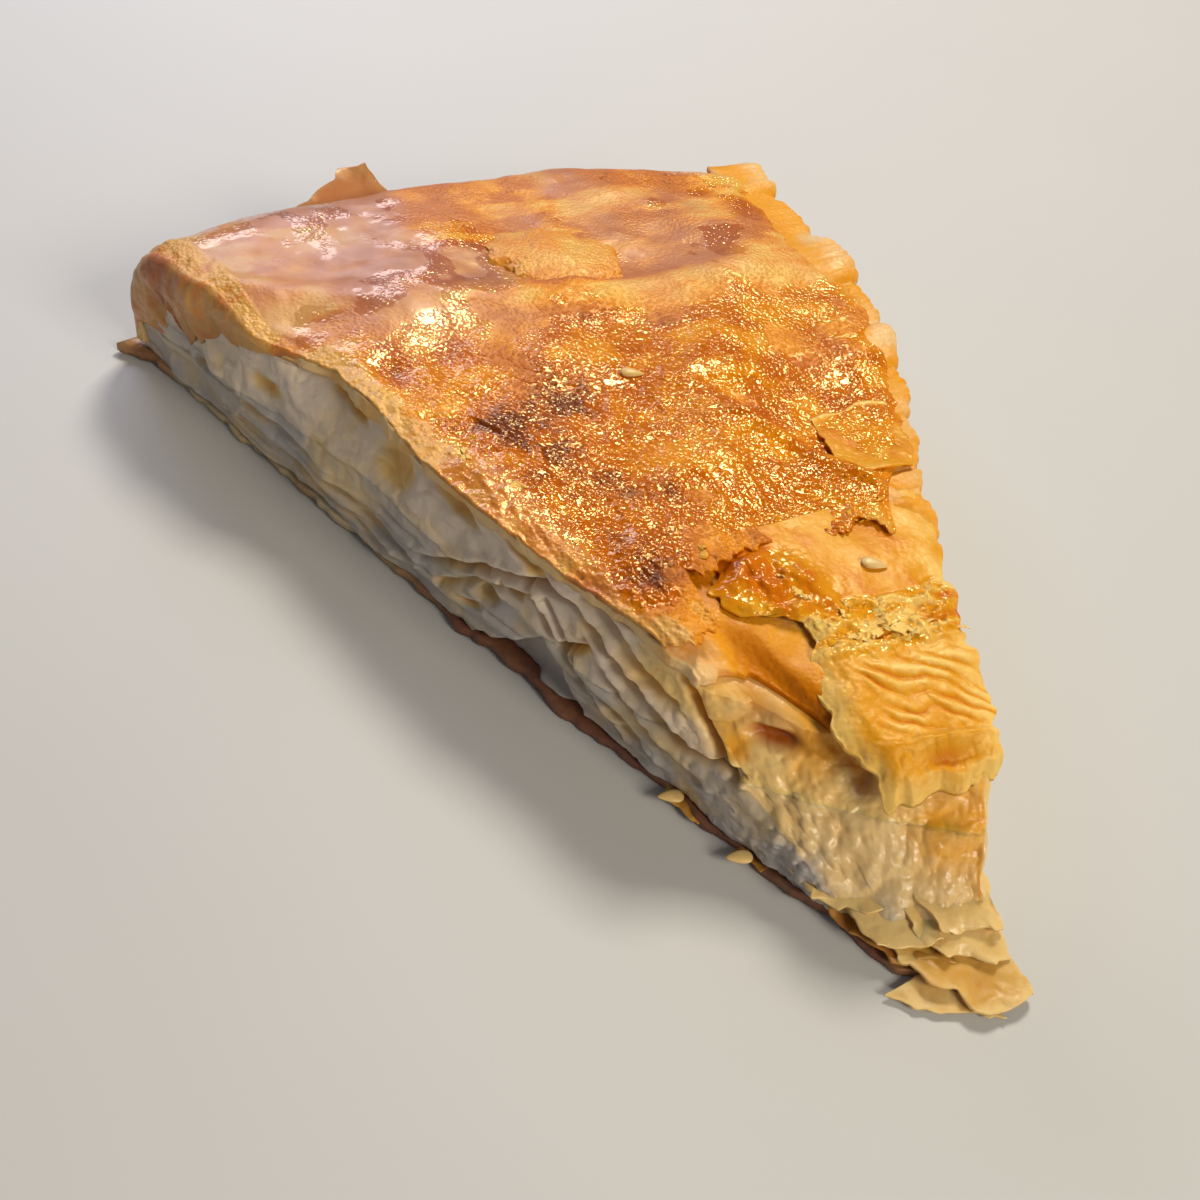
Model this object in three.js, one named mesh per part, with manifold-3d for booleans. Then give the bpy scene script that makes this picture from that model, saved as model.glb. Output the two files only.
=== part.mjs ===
// A wedge cut from a round cheese pie: a browned, flaky top crust that wraps down over the
// pie's rim, a layer of cheese curd, a layer of soft folded pastry, and a thin bottom crust.
// Millimetres, +Z up. Y runs from the torn tip of the wedge to the pie's rim, X across it.

import * as THREE from 'three';
import { mergeVertices } from 'three/addons/utils/BufferGeometryUtils.js';
import loadManifold from 'manifold-3d';

const { clamp, degToRad, lerp, smoothstep } = THREE.MathUtils;

// Plan of the wedge. Each cut runs from a blunt tip; the left one bows evenly, the right one
// swells past its middle
const rimRadius = 171; // tip to outer rim
const tipToOrigin = 86; // the origin is on the base, half way along the wedge
const halfAngle = degToRad(20.6);
const leftCut = { tip: 4.2, spread: 0.3575, bow: 2.4, swell: 0 };
const rightCut = { tip: 1.5, spread: 0.318, bow: 0, swell: 10 };
const swellAt = { y: 98, width: 38 };
const edgeFade = 6; // power by which the relief of a cut dies away inside the wedge

// Heights and thicknesses
const middleHeight = 25;
const shoulderHeight = 24;
const seamHeight = 11.5;
const bottomThickness = 2.2;
const topThickness = 3;
const layerGap = 0.4;
const cutInset = 0.5; // the filling's cut faces lie a little inside the crusts' edges

// The rim: the top crust rolls over a rounded shoulder and runs down to the bottom crust
const rollWidth = 16;
const rollCentreHeight = 5.5;
const rollStart = rimRadius - rollWidth;
const wallFoot = bottomThickness + layerGap;
const cornerBulb = { reach: 5, start: 147 }; // the rim's left end swells past the cut
const rimTilt = { start: 112, end: 150, height: 1.6 }; // the rim stands higher on the left

// The top: a dome that falls towards the rim, a fold across it and a torn, wrinkled front
const domeStart = 100;
const fold = { middleX: 20, middleY: 118.3, bend: 0.00315, height: 1.5, width: 5 };
const swells = { height: 0.5, acrossPitch: 50, alongPitch: 75 };
const front = { start: 52, sag: 0.07, leftEnd: 47, rightEnd: 18.5, turnFrom: -0.72, turnTo: -0.05 };
const wrinkle = { pitch: 6, height: 0.6, end: 40, fade: 6, heading: degToRad(58) };

// The browned skin on top: torn off at the front, and folded back along a line on the right
const skin = { step: 1, tearY: 47, tearDepth: 3, tearPitch: 25, blur: 1.5 };
const foldBack = { x: 11, y: 81, slope: -0.5 };

// The torn tip slants: the higher a layer lies, the further back it starts, most of all on the left
const tornFront = { leftStart: 14, leftLean: 1.75, rightStart: 7.5, rightLean: 0.62, belly: 1.6 };

// Crags of the cut faces and ragged edges of the crusts
const layerFold = { pitch: 4.2, drift: 1.4, driftPitch: 94, depth: 0.45 };
const lump = { pitch: 23, depth: 0.6 };
const pit = { pitch: 12, depth: 0.35 };
const scallop = { leftPitch: 21, leftDepth: 0.5, rightPitch: 13, rightDepth: 1.1 };
const seedSize = { length: 3.5, width: 2.1, thickness: 1.4 };

const wasm = await loadManifold();
wasm.setup();

const bell = (distance, width) => Math.exp(-((distance / width) ** 2));
const wave = (along, pitch, phase = 0) => Math.sin((2 * Math.PI * along) / pitch + phase);

// Distance from the wedge's middle line out to a cut, at y along the wedge
function cutX(side, y) {
  const cut = side < 0 ? leftCut : rightCut;
  return cut.tip + cut.spread * y
    + cut.bow * wave(clamp(y, 0, rimRadius), 2 * rimRadius)
    + cut.swell * bell(y - swellAt.y, swellAt.width);
}

// A point of the plan: across runs from the left cut (-1) to the right cut (1), and outward
// moves the points next to the cuts only
function planPoint(across, radius, outward) {
  const y = radius * Math.cos(across * halfAngle);
  const edge = Math.sign(across) * Math.abs(across) ** edgeFade;
  return { x: across * cutX(across, y) + outward * edge, y };
}

// 1 on the browned skin, 0 on the paler sheets that it has come away from
function skinCover(x, y) {
  const pastTear = skin.tearY + skin.tearDepth * wave(x, skin.tearPitch) - y;
  const pastFold = y < foldBack.y ? x - foldBack.x - foldBack.slope * (y - foldBack.y) : -skin.blur;
  return 1 - smoothstep(Math.max(pastTear, pastFold), -skin.blur, skin.blur);
}

// Height of the smooth dome that the top crust's relief stands on, up to where it rolls over
function domeHeight(x, y) {
  const fall = clamp((Math.hypot(x, y) - domeStart) / (rollStart - domeStart), 0, 1) ** 2;
  return lerp(middleHeight, shoulderHeight, fall) - front.sag * Math.max(0, front.start - y);
}

// Relief of the upper face: the fold, soft swells, the wrinkled front and the skin's torn edge
function topRelief(x, y) {
  const foldY = fold.middleY + fold.bend * (x - fold.middleX) ** 2;
  const rise = wave(x, swells.acrossPitch, 1) * wave(y, swells.alongPitch)
    + 0.7 * wave(x / swells.acrossPitch - y / swells.alongPitch, 0.6);
  const alongWrinkles = x * Math.cos(wrinkle.heading) + y * Math.sin(wrinkle.heading);
  const inFront = 1 - smoothstep(y, wrinkle.end - wrinkle.fade, wrinkle.end);
  const tilt = smoothstep(-x, 5, 45) - smoothstep(x, 28, 52);
  return fold.height * bell(y - foldY, fold.width)
    + swells.height * rise
    + rimTilt.height * tilt * smoothstep(y, rimTilt.start, rimTilt.end)
    + wrinkle.height * wave(alongWrinkles, wrinkle.pitch) * inFront
    - skin.step * (1 - skinCover(x, y));
}

const topHeight = (x, y) => domeHeight(x, y) + topRelief(x, y);

// Height of the top crust's underside, down inside the rolled rim too
function ceilingHeight(x, y) {
  const radius = Math.hypot(x, y);
  if (radius <= rollStart) return domeHeight(x, y) - topThickness;
  const over = clamp((radius - rollStart) / (rollWidth - topThickness), 0, 1);
  const rise = shoulderHeight - topThickness - rollCentreHeight;
  return rollCentreHeight + rise * Math.sqrt(1 - over * over);
}

// Height of the wavy seam between the soft pastry and the cheese
function seamSurface(x, y) {
  return seamHeight + 1.3 * wave(y, 82, 0.4) + 0.5 * wave(x / 57 + y / 132, 1);
}

// Radius at which a filling layer meets the inside of the rim, at height z
function fillingEnd(z) {
  const room = shoulderHeight - topThickness - rollCentreHeight;
  const up = clamp((z - rollCentreHeight) / room, 0, 1);
  const reach = rollWidth - topThickness - 4 * layerGap;
  return rollStart + reach * Math.sqrt(1 - up * up);
}

// Relief of a cut face: long folds that follow the layers, with lumps and pits across them
function crag(along, up, phase) {
  const level = up + layerFold.drift * wave(along, layerFold.driftPitch, phase);
  const lumps = wave(along, lump.pitch, phase) * wave(along / 3 + 2 * up, lump.pitch, 2 * phase);
  return layerFold.depth * wave(level, layerFold.pitch, phase)
    + lump.depth * lumps
    + pit.depth * wave(along - 0.7 * up, pit.pitch, phase);
}

// A closed block of across by along by up cells, each corner moved to place(across, along, up)
function bentBlock(columns, rows, levels, place) {
  const box = new THREE.BoxGeometry(2, 1, 1, columns, rows, levels);
  box.translate(0, 0.5, 0.5);
  const block = welded(box);
  const corners = block.attributes.position;
  for (let i = 0; i < corners.count; i++) {
    const { x, y, z } = place(corners.getX(i), corners.getY(i), corners.getZ(i));
    corners.setXYZ(i, x, y, z);
  }
  return block;
}

function welded(geometry) {
  geometry.deleteAttribute('normal');
  geometry.deleteAttribute('uv');
  return mergeVertices(geometry, 1e-4);
}

function solidOf(geometry) {
  const vertProperties = new Float32Array(geometry.attributes.position.array);
  const triVerts = new Uint32Array(geometry.index.array);
  return new wasm.Manifold(new wasm.Mesh({ numProp: 3, vertProperties, triVerts }));
}

// One closed geometry of a layer with its flakes and seeds fused on
function fused(layer, additions) {
  let solid = solidOf(layer);
  for (const addition of additions) solid = solid.add(solidOf(addition));
  const mesh = solid.getMesh();
  const geometry = new THREE.BufferGeometry();
  geometry.setAttribute('position', new THREE.BufferAttribute(mesh.vertProperties, 3));
  geometry.setIndex(new THREE.BufferAttribute(mesh.triVerts, 1));
  return geometry;
}

// A thin wavy scrap of pastry sheet that hangs on one edge. The middle of that edge is at
// (x, y, z), and the scrap is tilted up from it, then turned about Z
function flake({ x, y, z, width, length, thickness = 0.7, taper = 0.25, turn = 0, tilt = 0, curl = 0 }) {
  const ripple = { share: 0.12, height: 0.25 };
  const scrap = bentBlock(4, 4, 1, (across, along, up) => ({
    x: across * 0.5 * width * (1 - taper * along * along),
    y: along * length * (1 + ripple.share * Math.sin(5 * across + 3 * along + x)),
    z: up * thickness + curl * along * along + ripple.height * Math.sin(3 * across + x),
  }));
  scrap.rotateX(degToRad(tilt));
  scrap.rotateZ(degToRad(turn));
  scrap.translate(x, y, z);
  return scrap;
}

// A flat oval seed whose middle is at (x, y, z), sunk into the sheet that it lies on
function seed(x, y, z, turn) {
  const oval = welded(new THREE.SphereGeometry(0.5, 6, 4));
  oval.scale(seedSize.length, seedSize.width, seedSize.thickness);
  oval.rotateZ(degToRad(turn));
  oval.translate(x, y, z);
  return oval;
}

// Bottom crust: a flat sheet under the whole wedge, with ragged edges, a broad tip, a scrap
// that hangs off the tip's left side and a lip at the outer left corner
function bottomCrust() {
  const tipEnd = -1.2;
  const lip = { reach: 3, width: 5 };
  const sheet = bentBlock(8, 44, 1, (across, along, up) => {
    const start = tipEnd + 3 * Math.abs(across) ** 3;
    const radius = lerp(start, rimRadius, along);
    const ragged = 0.4 + 0.7 * wave(radius, 27) + 0.4 * wave(radius, 12, 2);
    const broadTip = 1.8 * bell(radius, 8);
    const corner = across < 0 ? lip.reach * bell(radius - rimRadius, lip.width) : 0;
    const { x, y } = planPoint(across, radius, ragged + broadTip + corner);
    return { x, y, z: up * bottomThickness };
  });
  const scraps = [
    flake({ x: -2, y: 6.5, z: 0.6, width: 7, length: 9, turn: 92, curl: 0.4 }),
    flake({ x: -17.5, y: 41, z: 0.9, width: 7, length: 6, turn: 70, curl: 0.5 }),
    flake({ x: -14.5, y: 31, z: 0.7, width: 6, length: 5, turn: 75, curl: 0.6 }),
  ];
  const seeds = [seed(-21.6, 41.8, 1.6, -15), seed(-18, 30.5, 1.5, -15)];
  return fused(sheet, [...scraps, ...seeds]);
}

// One filling layer between two surfaces, from the slanting torn front to the rim, where the
// layer closes up against the inside of the rolled crust
function fillingLayer({ floorAt, ceilingAt, outset, phase }) {
  return bentBlock(6, 54, 5, (across, along, up) => {
    const tipZ = lerp(floorAt(0, 0), ceilingAt(0, 0), up);
    const rimZ = lerp(floorAt(0, rollStart), ceilingAt(0, rollStart), up);
    const leftStart = tornFront.leftStart + tornFront.leftLean * tipZ;
    const rightStart = tornFront.rightStart + tornFront.rightLean * tipZ;
    const belly = tornFront.belly * (1 - across * across);
    const start = lerp(leftStart, rightStart, (1 + across) / 2) - belly;
    const end = fillingEnd(rimZ);
    const radius = lerp(start, end, along);
    const relief = crag(radius, tipZ, phase + across) + outset;
    const nearRim = smoothstep(radius, rollStart - 25, rollStart);
    const { x, y } = planPoint(across, radius, lerp(relief, 0, nearRim) - cutInset);
    const z = lerp(floorAt(x, y), ceilingAt(x, y), up);
    return { x, y, z: lerp(z, rimZ, smoothstep(radius, rollStart - 12, end)) };
  });
}

function softPastry() {
  const floorAt = () => wallFoot;
  const ceilingAt = (x, y) => seamSurface(x, y) - layerGap / 2;
  return fillingLayer({ floorAt, ceilingAt, outset: -0.3, phase: 0.7 });
}

function cheeseCurd() {
  const floorAt = (x, y) => seamSurface(x, y) + layerGap / 2;
  const ceilingAt = (x, y) => ceilingHeight(x, y) - layerGap;
  return fillingLayer({ floorAt, ceilingAt, outset: 0.5, phase: 2.9 });
}

// A corner of the top crust's sheet. along runs from the torn front edge (0) over the top, round
// the rim's shoulder and down its wall (1), up from the underside (0) to the browned face (1)
function topCrustCorner(across, along, up) {
  const topShare = 0.84;
  const rollShare = 0.12;
  const frontCrowding = 1.35; // rows lie closer together towards the front
  const depth = topThickness * (1 - up);
  const onRight = smoothstep(across, front.turnFrom, front.turnTo);
  const start = lerp(front.leftEnd, front.rightEnd, onRight) + 1.2 * Math.sin(9 * across);
  const share = Math.min(along / topShare, 1);
  const flat = lerp(start, rollStart, share ** frontCrowding);
  const ragged = across < 0
    ? scallop.leftDepth * wave(flat, scallop.leftPitch)
      + cornerBulb.reach * smoothstep(flat, cornerBulb.start, rollStart)
    : scallop.rightDepth * Math.abs(wave(flat, 2 * scallop.rightPitch));
  const onTop = planPoint(across, flat, ragged);
  if (along <= topShare) {
    const z = domeHeight(onTop.x, onTop.y) - depth + up * topRelief(onTop.x, onTop.y);
    return { ...onTop, z };
  }
  const turn = (Math.PI / 2) * clamp((along - topShare) / rollShare, 0, 1);
  const down = clamp((along - topShare - rollShare) / (1 - topShare - rollShare), 0, 1);
  const rise = shoulderHeight - depth - rollCentreHeight + up * topRelief(onTop.x, onTop.y);
  const z = lerp(rollCentreHeight + rise * Math.cos(turn), wallFoot, down);
  const radius = rollStart + (rollWidth - depth) * Math.sin(turn);
  return { ...planPoint(across, radius, ragged * Math.cos(turn)), z };
}

// Top crust: the sheet with the flakes along its right edge, a loose flake behind the fold, a
// pointed flap that stands off the rim, and two seeds
function topCrust() {
  const sheet = bentBlock(20, 50, 2, topCrustCorner);
  const onTop = (x, y, rise) => ({ x, y, z: topHeight(x, y) + rise });
  const rightEdge = [132, 117, 105, 94, 73, 55, 42].map((y, i) => flake({
    ...onTop(cutX(1, y) - 6, y, -1.2 - 0.4 * (i % 3)),
    width: 9 + 3 * (i % 2),
    length: 8 + (i % 3),
    turn: -80 - 14 * ((i % 3) - 1),
    tilt: 3 * (i % 2),
    curl: 0.4,
  }));
  const loose = flake({ ...onTop(2, 122, -0.4), width: 20, length: 14, turn: 12, tilt: 5 });
  const rimFlap = flake({
    x: -23, y: 165.6, z: 16, width: 22, length: 9, thickness: 1, taper: 0.7, turn: 8, tilt: 58,
  });
  const seeds = [[-2.2, 98.6, 5], [9.7, 51.5, 60]].map(([x, y, turn]) => (
    seed(x, y, topHeight(x, y) + 0.2, turn)
  ));
  return fused(sheet, [...rightEdge, loose, rimFlap, ...seeds]);
}

const layers = {
  bottom_crust: { geometry: bottomCrust(), color: 0x9a7250, roughness: 0.7 },
  soft_pastry: { geometry: softPastry(), color: 0xd8c9a4, roughness: 0.5 },
  cheese_curd: { geometry: cheeseCurd(), color: 0xe8d59c, roughness: 0.5 },
  top_crust: { geometry: topCrust(), color: 0xc47a2c, roughness: 0.4 },
};

const slice = new THREE.Group();
for (const [name, { geometry, color, roughness }] of Object.entries(layers)) {
  const material = new THREE.MeshStandardMaterial({ color, roughness, metalness: 0 });
  const mesh = new THREE.Mesh(geometry, material);
  mesh.name = name;
  mesh.position.y = -tipToOrigin;
  slice.add(mesh);
}

export default slice;
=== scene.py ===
import math

import bpy
import numpy as np
from mathutils import Matrix, Vector


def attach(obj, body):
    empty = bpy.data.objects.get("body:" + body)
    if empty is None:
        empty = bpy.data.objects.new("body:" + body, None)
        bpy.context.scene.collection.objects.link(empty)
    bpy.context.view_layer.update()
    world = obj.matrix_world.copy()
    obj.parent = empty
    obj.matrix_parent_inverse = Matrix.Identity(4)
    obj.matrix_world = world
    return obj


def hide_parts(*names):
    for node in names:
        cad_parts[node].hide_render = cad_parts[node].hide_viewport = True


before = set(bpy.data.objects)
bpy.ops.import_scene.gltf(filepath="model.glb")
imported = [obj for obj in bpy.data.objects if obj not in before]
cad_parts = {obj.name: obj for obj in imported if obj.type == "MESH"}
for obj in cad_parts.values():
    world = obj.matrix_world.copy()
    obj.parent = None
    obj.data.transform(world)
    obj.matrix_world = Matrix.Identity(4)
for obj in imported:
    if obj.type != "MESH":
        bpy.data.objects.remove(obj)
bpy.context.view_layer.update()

mm = 0.001

# Plan and heights of the slice, in mm with the torn tip at y = 0
form = dict(
    rimRadius=171.0, tipToOrigin=86.0, halfAngle=math.radians(20.6),
    leftTip=4.2, leftSpread=0.3575, leftBow=2.4,
    rightTip=1.5, rightSpread=0.318, rightBulge=10.0, bulgeAt=98.0, bulgeWidth=38.0,
    middleHeight=25.0, shoulderHeight=24.0, seamHeight=11.5, seamSwing=1.3, seamRipple=0.5,
    bottomThickness=2.2, topThickness=3.0,
    rimOverlap=0.9, seamOverlap=0.12, bottomOverlap=0.4, ceilingGap=0.1, cutInset=0.5,
    rollWidth=16.0, rollCentre=5.5, domeStart=100.0,
    frontStart=52.0, frontSag=0.07, frontStep=0.9,
)
rollStart = form["rimRadius"] - form["rollWidth"]

# Broad relief of the top: a fold across it, swells, a crease on the right, dents, and the tilt of the rim end
relief = dict(
    foldAt=118.3, foldBend=0.00315, foldMiddle=20.0, foldHeight=1.5, foldWidth=5.0,
    creaseX=11.3, creaseY=82.5, creaseSlope=0.52, creaseDrop=1.3, creaseLift=0.6,
    swellLength=50.0, swellWidth=75.0, swell=0.5, lumps=0.55, tilt=1.6,
    dents=[(-14, 97, 1.3, 7, 0.9), (-37, 110, 1.0, 4, 0.6)])        # x, y, stretch along y, width, depth


# Small maths that every piece uses

def bell(distance, width):
    return np.exp(-(distance / width) ** 2)


def ease(low, high, value):
    t = np.clip((value - low) / (high - low), 0.0, 1.0)
    return t * t * (3 - 2 * t)


def mix(a, b, t):
    return a + (b - a) * t


# A round patch at a place, from 1 in its middle down to 0
def patch(x, y, place, width, stretch=1.0):
    return bell(np.hypot(x - place[0], (y - place[1]) * stretch), width)


# Sum of patches given as (x, y, stretch along y, width, amount)
def patches(x, y, spots):
    return sum(amount * patch(x, y, (cx, cy), width, stretch) for cx, cy, stretch, width, amount in spots)


def latticeValue(ix, iy, iz, seed):
    h = (ix * 73856093) ^ (iy * 19349663) ^ (iz * 83492791) ^ (seed * 668265263 + 374761393)
    h = (h ^ (h >> 13)) * 1274126177
    h = (h ^ (h >> 15)) * 2246822519
    h = h ^ (h >> 16)
    return (h & 0xFFFFFF) / float(0x1000000)


# Smooth noise from -1 to 1 on a unit lattice
def noise(x, y, z, seed=0):
    x, y, z = np.broadcast_arrays(*[np.asarray(v, float) for v in (x, y, z)])
    corner = [np.floor(v).astype(np.int64) for v in (x, y, z)]
    part = [v - c for v, c in zip((x, y, z), corner)]
    part = [f * f * f * (f * (f * 6 - 15) + 10) for f in part]
    total = np.zeros(x.shape)
    for dx in (0, 1):
        wx = part[0] if dx else 1 - part[0]
        for dy in (0, 1):
            wy = part[1] if dy else 1 - part[1]
            for dz in (0, 1):
                wz = part[2] if dz else 1 - part[2]
                total += wx * wy * wz * latticeValue(corner[0] + dx, corner[1] + dy, corner[2] + dz, seed)
    return total * 2 - 1


# Octaves of that noise, each half as strong as the one before
def fbm(x, y, z, seed=0, octaves=4):
    total, weight, scale, norm = 0.0, 1.0, 1.0, 0.0
    for octave in range(octaves):
        total = total + weight * noise(x * scale, y * scale, z * scale, seed + 17 * octave)
        norm += weight
        weight *= 0.5
        scale *= 2.03
    return total / norm


# The same two at a spot (x, y, z), with lumps of so many mm, and one along a line
def speckle(spot, size, seed):
    return noise(spot[0] / size, spot[1] / size, spot[2] / size, seed)


def clouds(spot, size, seed, octaves):
    return fbm(spot[0] / size, spot[1] / size, spot[2] / size, seed, octaves)


def wobble(along, size, seed):
    return noise(along / size, 0, 0, seed)


# Jittered cells: distance to the nearest middle, and that middle's own number
def cells(x, y, z, seed=0):
    x, y, z = np.broadcast_arrays(*[np.asarray(v, float) for v in (x, y, z)])
    ix, iy, iz = [np.floor(v).astype(np.int64) for v in (x, y, z)]
    nearest = np.full(x.shape, 9.0)
    own = np.zeros(x.shape)
    for dz in (-1, 0, 1):
        for dy in (-1, 0, 1):
            for dx in (-1, 0, 1):
                cell = (ix + dx, iy + dy, iz + dz)
                middle = [c + 0.1 + 0.8 * latticeValue(*cell, seed + 101 * k) for k, c in enumerate(cell)]
                d = np.sqrt((x - middle[0]) ** 2 + (y - middle[1]) ** 2 + (z - middle[2]) ** 2)
                near = d < nearest
                own = np.where(near, latticeValue(*cell, seed + 303), own)
                nearest = np.where(near, d, nearest)
    return nearest, own


# Distance to a line of points, and how far above it
def lineDistance(a, b, points):
    best = np.full(a.shape, 99.0)
    above = np.zeros(a.shape)
    for (a0, b0), (a1, b1) in zip(points[:-1], points[1:]):
        da, db = a1 - a0, b1 - b0
        t = np.clip(((a - a0) * da + (b - b0) * db) / (da * da + db * db), 0, 1)
        ea, eb = a - (a0 + t * da), b - (b0 + t * db)
        d = np.hypot(ea, eb)
        near = d < best
        above = np.where(near, eb, above)
        best = np.where(near, d, best)
    return best, above


# Depth inside a triangle, negative outside it
def triangleInside(a, b, corners):
    inside = np.full(a.shape, 99.0)
    for (a0, b0), (a1, b1) in zip(corners, corners[1:] + corners[:1]):
        da, db = a1 - a0, b1 - b0
        inside = np.minimum(inside, (db * (a - a0) - da * (b - b0)) / math.hypot(da, db))
    return inside


# The slice's own surfaces

def cutX(side, y):
    low = np.clip(y, 0, form["rimRadius"])
    bow = np.sin(np.pi * low / form["rimRadius"])
    left = form["leftTip"] + form["leftSpread"] * y + form["leftBow"] * bow
    bulge = form["rightBulge"] * bell(y - form["bulgeAt"], form["bulgeWidth"])
    right = form["rightTip"] + form["rightSpread"] * y + bulge
    return np.where(side < 0, left, right)


def leftCutX(y):
    return cutX(-np.ones(y.shape), y)


def rightCutX(y):
    return cutX(np.ones(y.shape), y)


def planAt(across, radius):
    y = radius * np.cos(across * form["halfAngle"])
    return across * cutX(across, y), y


def domeHeight(x, y):
    fall = np.clip((np.hypot(x, y) - form["domeStart"]) / (rollStart - form["domeStart"]), 0, 1) ** 2
    sag = form["frontSag"] * np.maximum(0, form["frontStart"] - y)
    return mix(form["middleHeight"], form["shoulderHeight"], fall) - sag


def foldLine(x):
    return relief["foldAt"] + relief["foldBend"] * (x - relief["foldMiddle"]) ** 2


def topSwell(x, y):
    p, q = x / relief["swellLength"], y / relief["swellWidth"]
    rise = np.sin(2 * np.pi * p + 1) * np.sin(2 * np.pi * q) + 0.7 * np.sin(2 * np.pi * (p - q) / 0.6)
    crease = x - (relief["creaseX"] - relief["creaseSlope"] * (y - relief["creaseY"]))    # mm to its right
    drop = ease(0, 2.2, crease) * ease(98, 86, y) * ease(52, 60, y)
    lift = bell(crease + 1.2, 1.6) * ease(92, 82, y) * ease(55, 60, y)
    tilt = ease(112, 150, y) * (ease(-5, -45, x) - ease(28, 52, x))
    fold = bell(y - foldLine(x), relief["foldWidth"]) * (0.7 + 0.3 * speckle((x, y, 0), 9, 5))
    return (relief["foldHeight"] * fold + relief["swell"] * rise + relief["tilt"] * tilt
            - relief["creaseDrop"] * drop + relief["creaseLift"] * lift - patches(x, y, relief["dents"])
            + relief["lumps"] * fbm(x / 17, y / 17, 0.3, 3, 3))


# How much lower the sheets in front of the browned skin lie
def frontStep(y):
    return form["frontStep"] * ease(63, 56, y)


# A spot on the top, lifted by so many mm
def topAt(x, y, lift=0.0):
    x, y = float(x), float(y)
    return (x, y, float(domeHeight(x, y) + topSwell(np.array(x), np.array(y))) + lift)


def seamSurface(x, y):
    return (form["seamHeight"] + form["seamSwing"] * np.sin(2 * np.pi * y / 82 + 0.4)
            + form["seamRipple"] * np.sin(2 * np.pi * (x / 57 + y / 132)))


def ceilingHeight(x, y):
    radius = np.hypot(x, y)
    over = np.clip((radius - rollStart) / (form["rollWidth"] - form["topThickness"]), 0, 1)
    rise = form["shoulderHeight"] - form["topThickness"] - form["rollCentre"]
    rolled = form["rollCentre"] + rise * np.sqrt(1 - over * over)
    return np.where(radius <= rollStart, domeHeight(x, y) - form["topThickness"], rolled)


def fillingEnd(z):
    room = form["shoulderHeight"] - form["topThickness"] - form["rollCentre"]
    up = np.clip((z - form["rollCentre"]) / room, 0, 1)
    reach = form["rollWidth"] - form["topThickness"] + form["rimOverlap"]
    return rollStart + reach * np.sqrt(1 - up * up)


# Mesh parts: dictionaries of corner arrays, faces and per corner values, joined into pieces

def gridQuads(rows, columns):
    i = np.arange(rows - 1)[:, None] * columns + np.arange(columns - 1)[None, :]
    return np.stack([i, i + 1, i + 1 + columns, i + columns], -1).reshape(-1, 4)


# Ring of indices round a grid's border, counter-clockwise seen from above
def borderRing(rows, columns):
    grid = np.arange(rows * columns).reshape(rows, columns)
    return np.concatenate([grid[0, :-1], grid[:-1, -1], grid[-1, :0:-1], grid[:0:-1, 0]])


# A closed slab: fine upper grid, side wall of a few levels, coarse underside with cells of step by step
def slab(top, under, values, levels=1, step=1):
    rows, columns = top.shape[:2]
    verts = [top.reshape(-1, 3)]
    faces = [tuple(quad) for quad in gridQuads(rows, columns).tolist()]
    ring = borderRing(rows, columns)
    upper, lower = top.reshape(-1, 3)[ring], under.reshape(-1, 3)[ring]
    count, n = rows * columns, len(ring)
    source = [np.arange(count)]
    last = ring
    for level in range(1, levels + 1):
        verts.append(mix(upper, lower, level / levels))
        source.append(ring)
        this = np.arange(n) + count
        count += n
        wall = np.stack([np.roll(last, -1), last, this, np.roll(this, -1)], -1)
        faces += [tuple(quad) for quad in wall.tolist()]
        last = this
    index = -np.ones((rows, columns), np.int64)
    index.reshape(-1)[ring] = last
    rowMarks = sorted(set(range(0, rows - 1, step)) | {rows - 1})
    columnMarks = sorted(set(range(0, columns - 1, step)) | {columns - 1})
    inner = np.array([(i, j) for i in rowMarks[1:-1] for j in columnMarks[1:-1]])
    index[inner[:, 0], inner[:, 1]] = np.arange(len(inner)) + count
    verts.append(under[inner[:, 0], inner[:, 1]])
    source.append(inner[:, 0] * columns + inner[:, 1])
    for i0, i1 in zip(rowMarks[:-1], rowMarks[1:]):
        for j0, j1 in zip(columnMarks[:-1], columnMarks[1:]):
            # along the border a coarse cell takes every corner of the wall
            sideA = range(j0, j1) if i0 == 0 else [j0]
            sideB = range(i0, i1) if j1 == columns - 1 else [i0]
            sideC = range(j1, j0, -1) if i1 == rows - 1 else [j1]
            sideD = range(i1, i0, -1) if j0 == 0 else [i1]
            loop = [index[i0, j] for j in sideA] + [index[i, j1] for i in sideB]
            loop += [index[i1, j] for j in sideC] + [index[i, j0] for i in sideD]
            faces.append(tuple(int(k) for k in loop[::-1]))
    source = np.concatenate(source)
    values = {k: v.reshape(-1)[source] for k, v in values.items()}
    return dict(verts=np.concatenate(verts), faces=faces, values=values)


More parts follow.
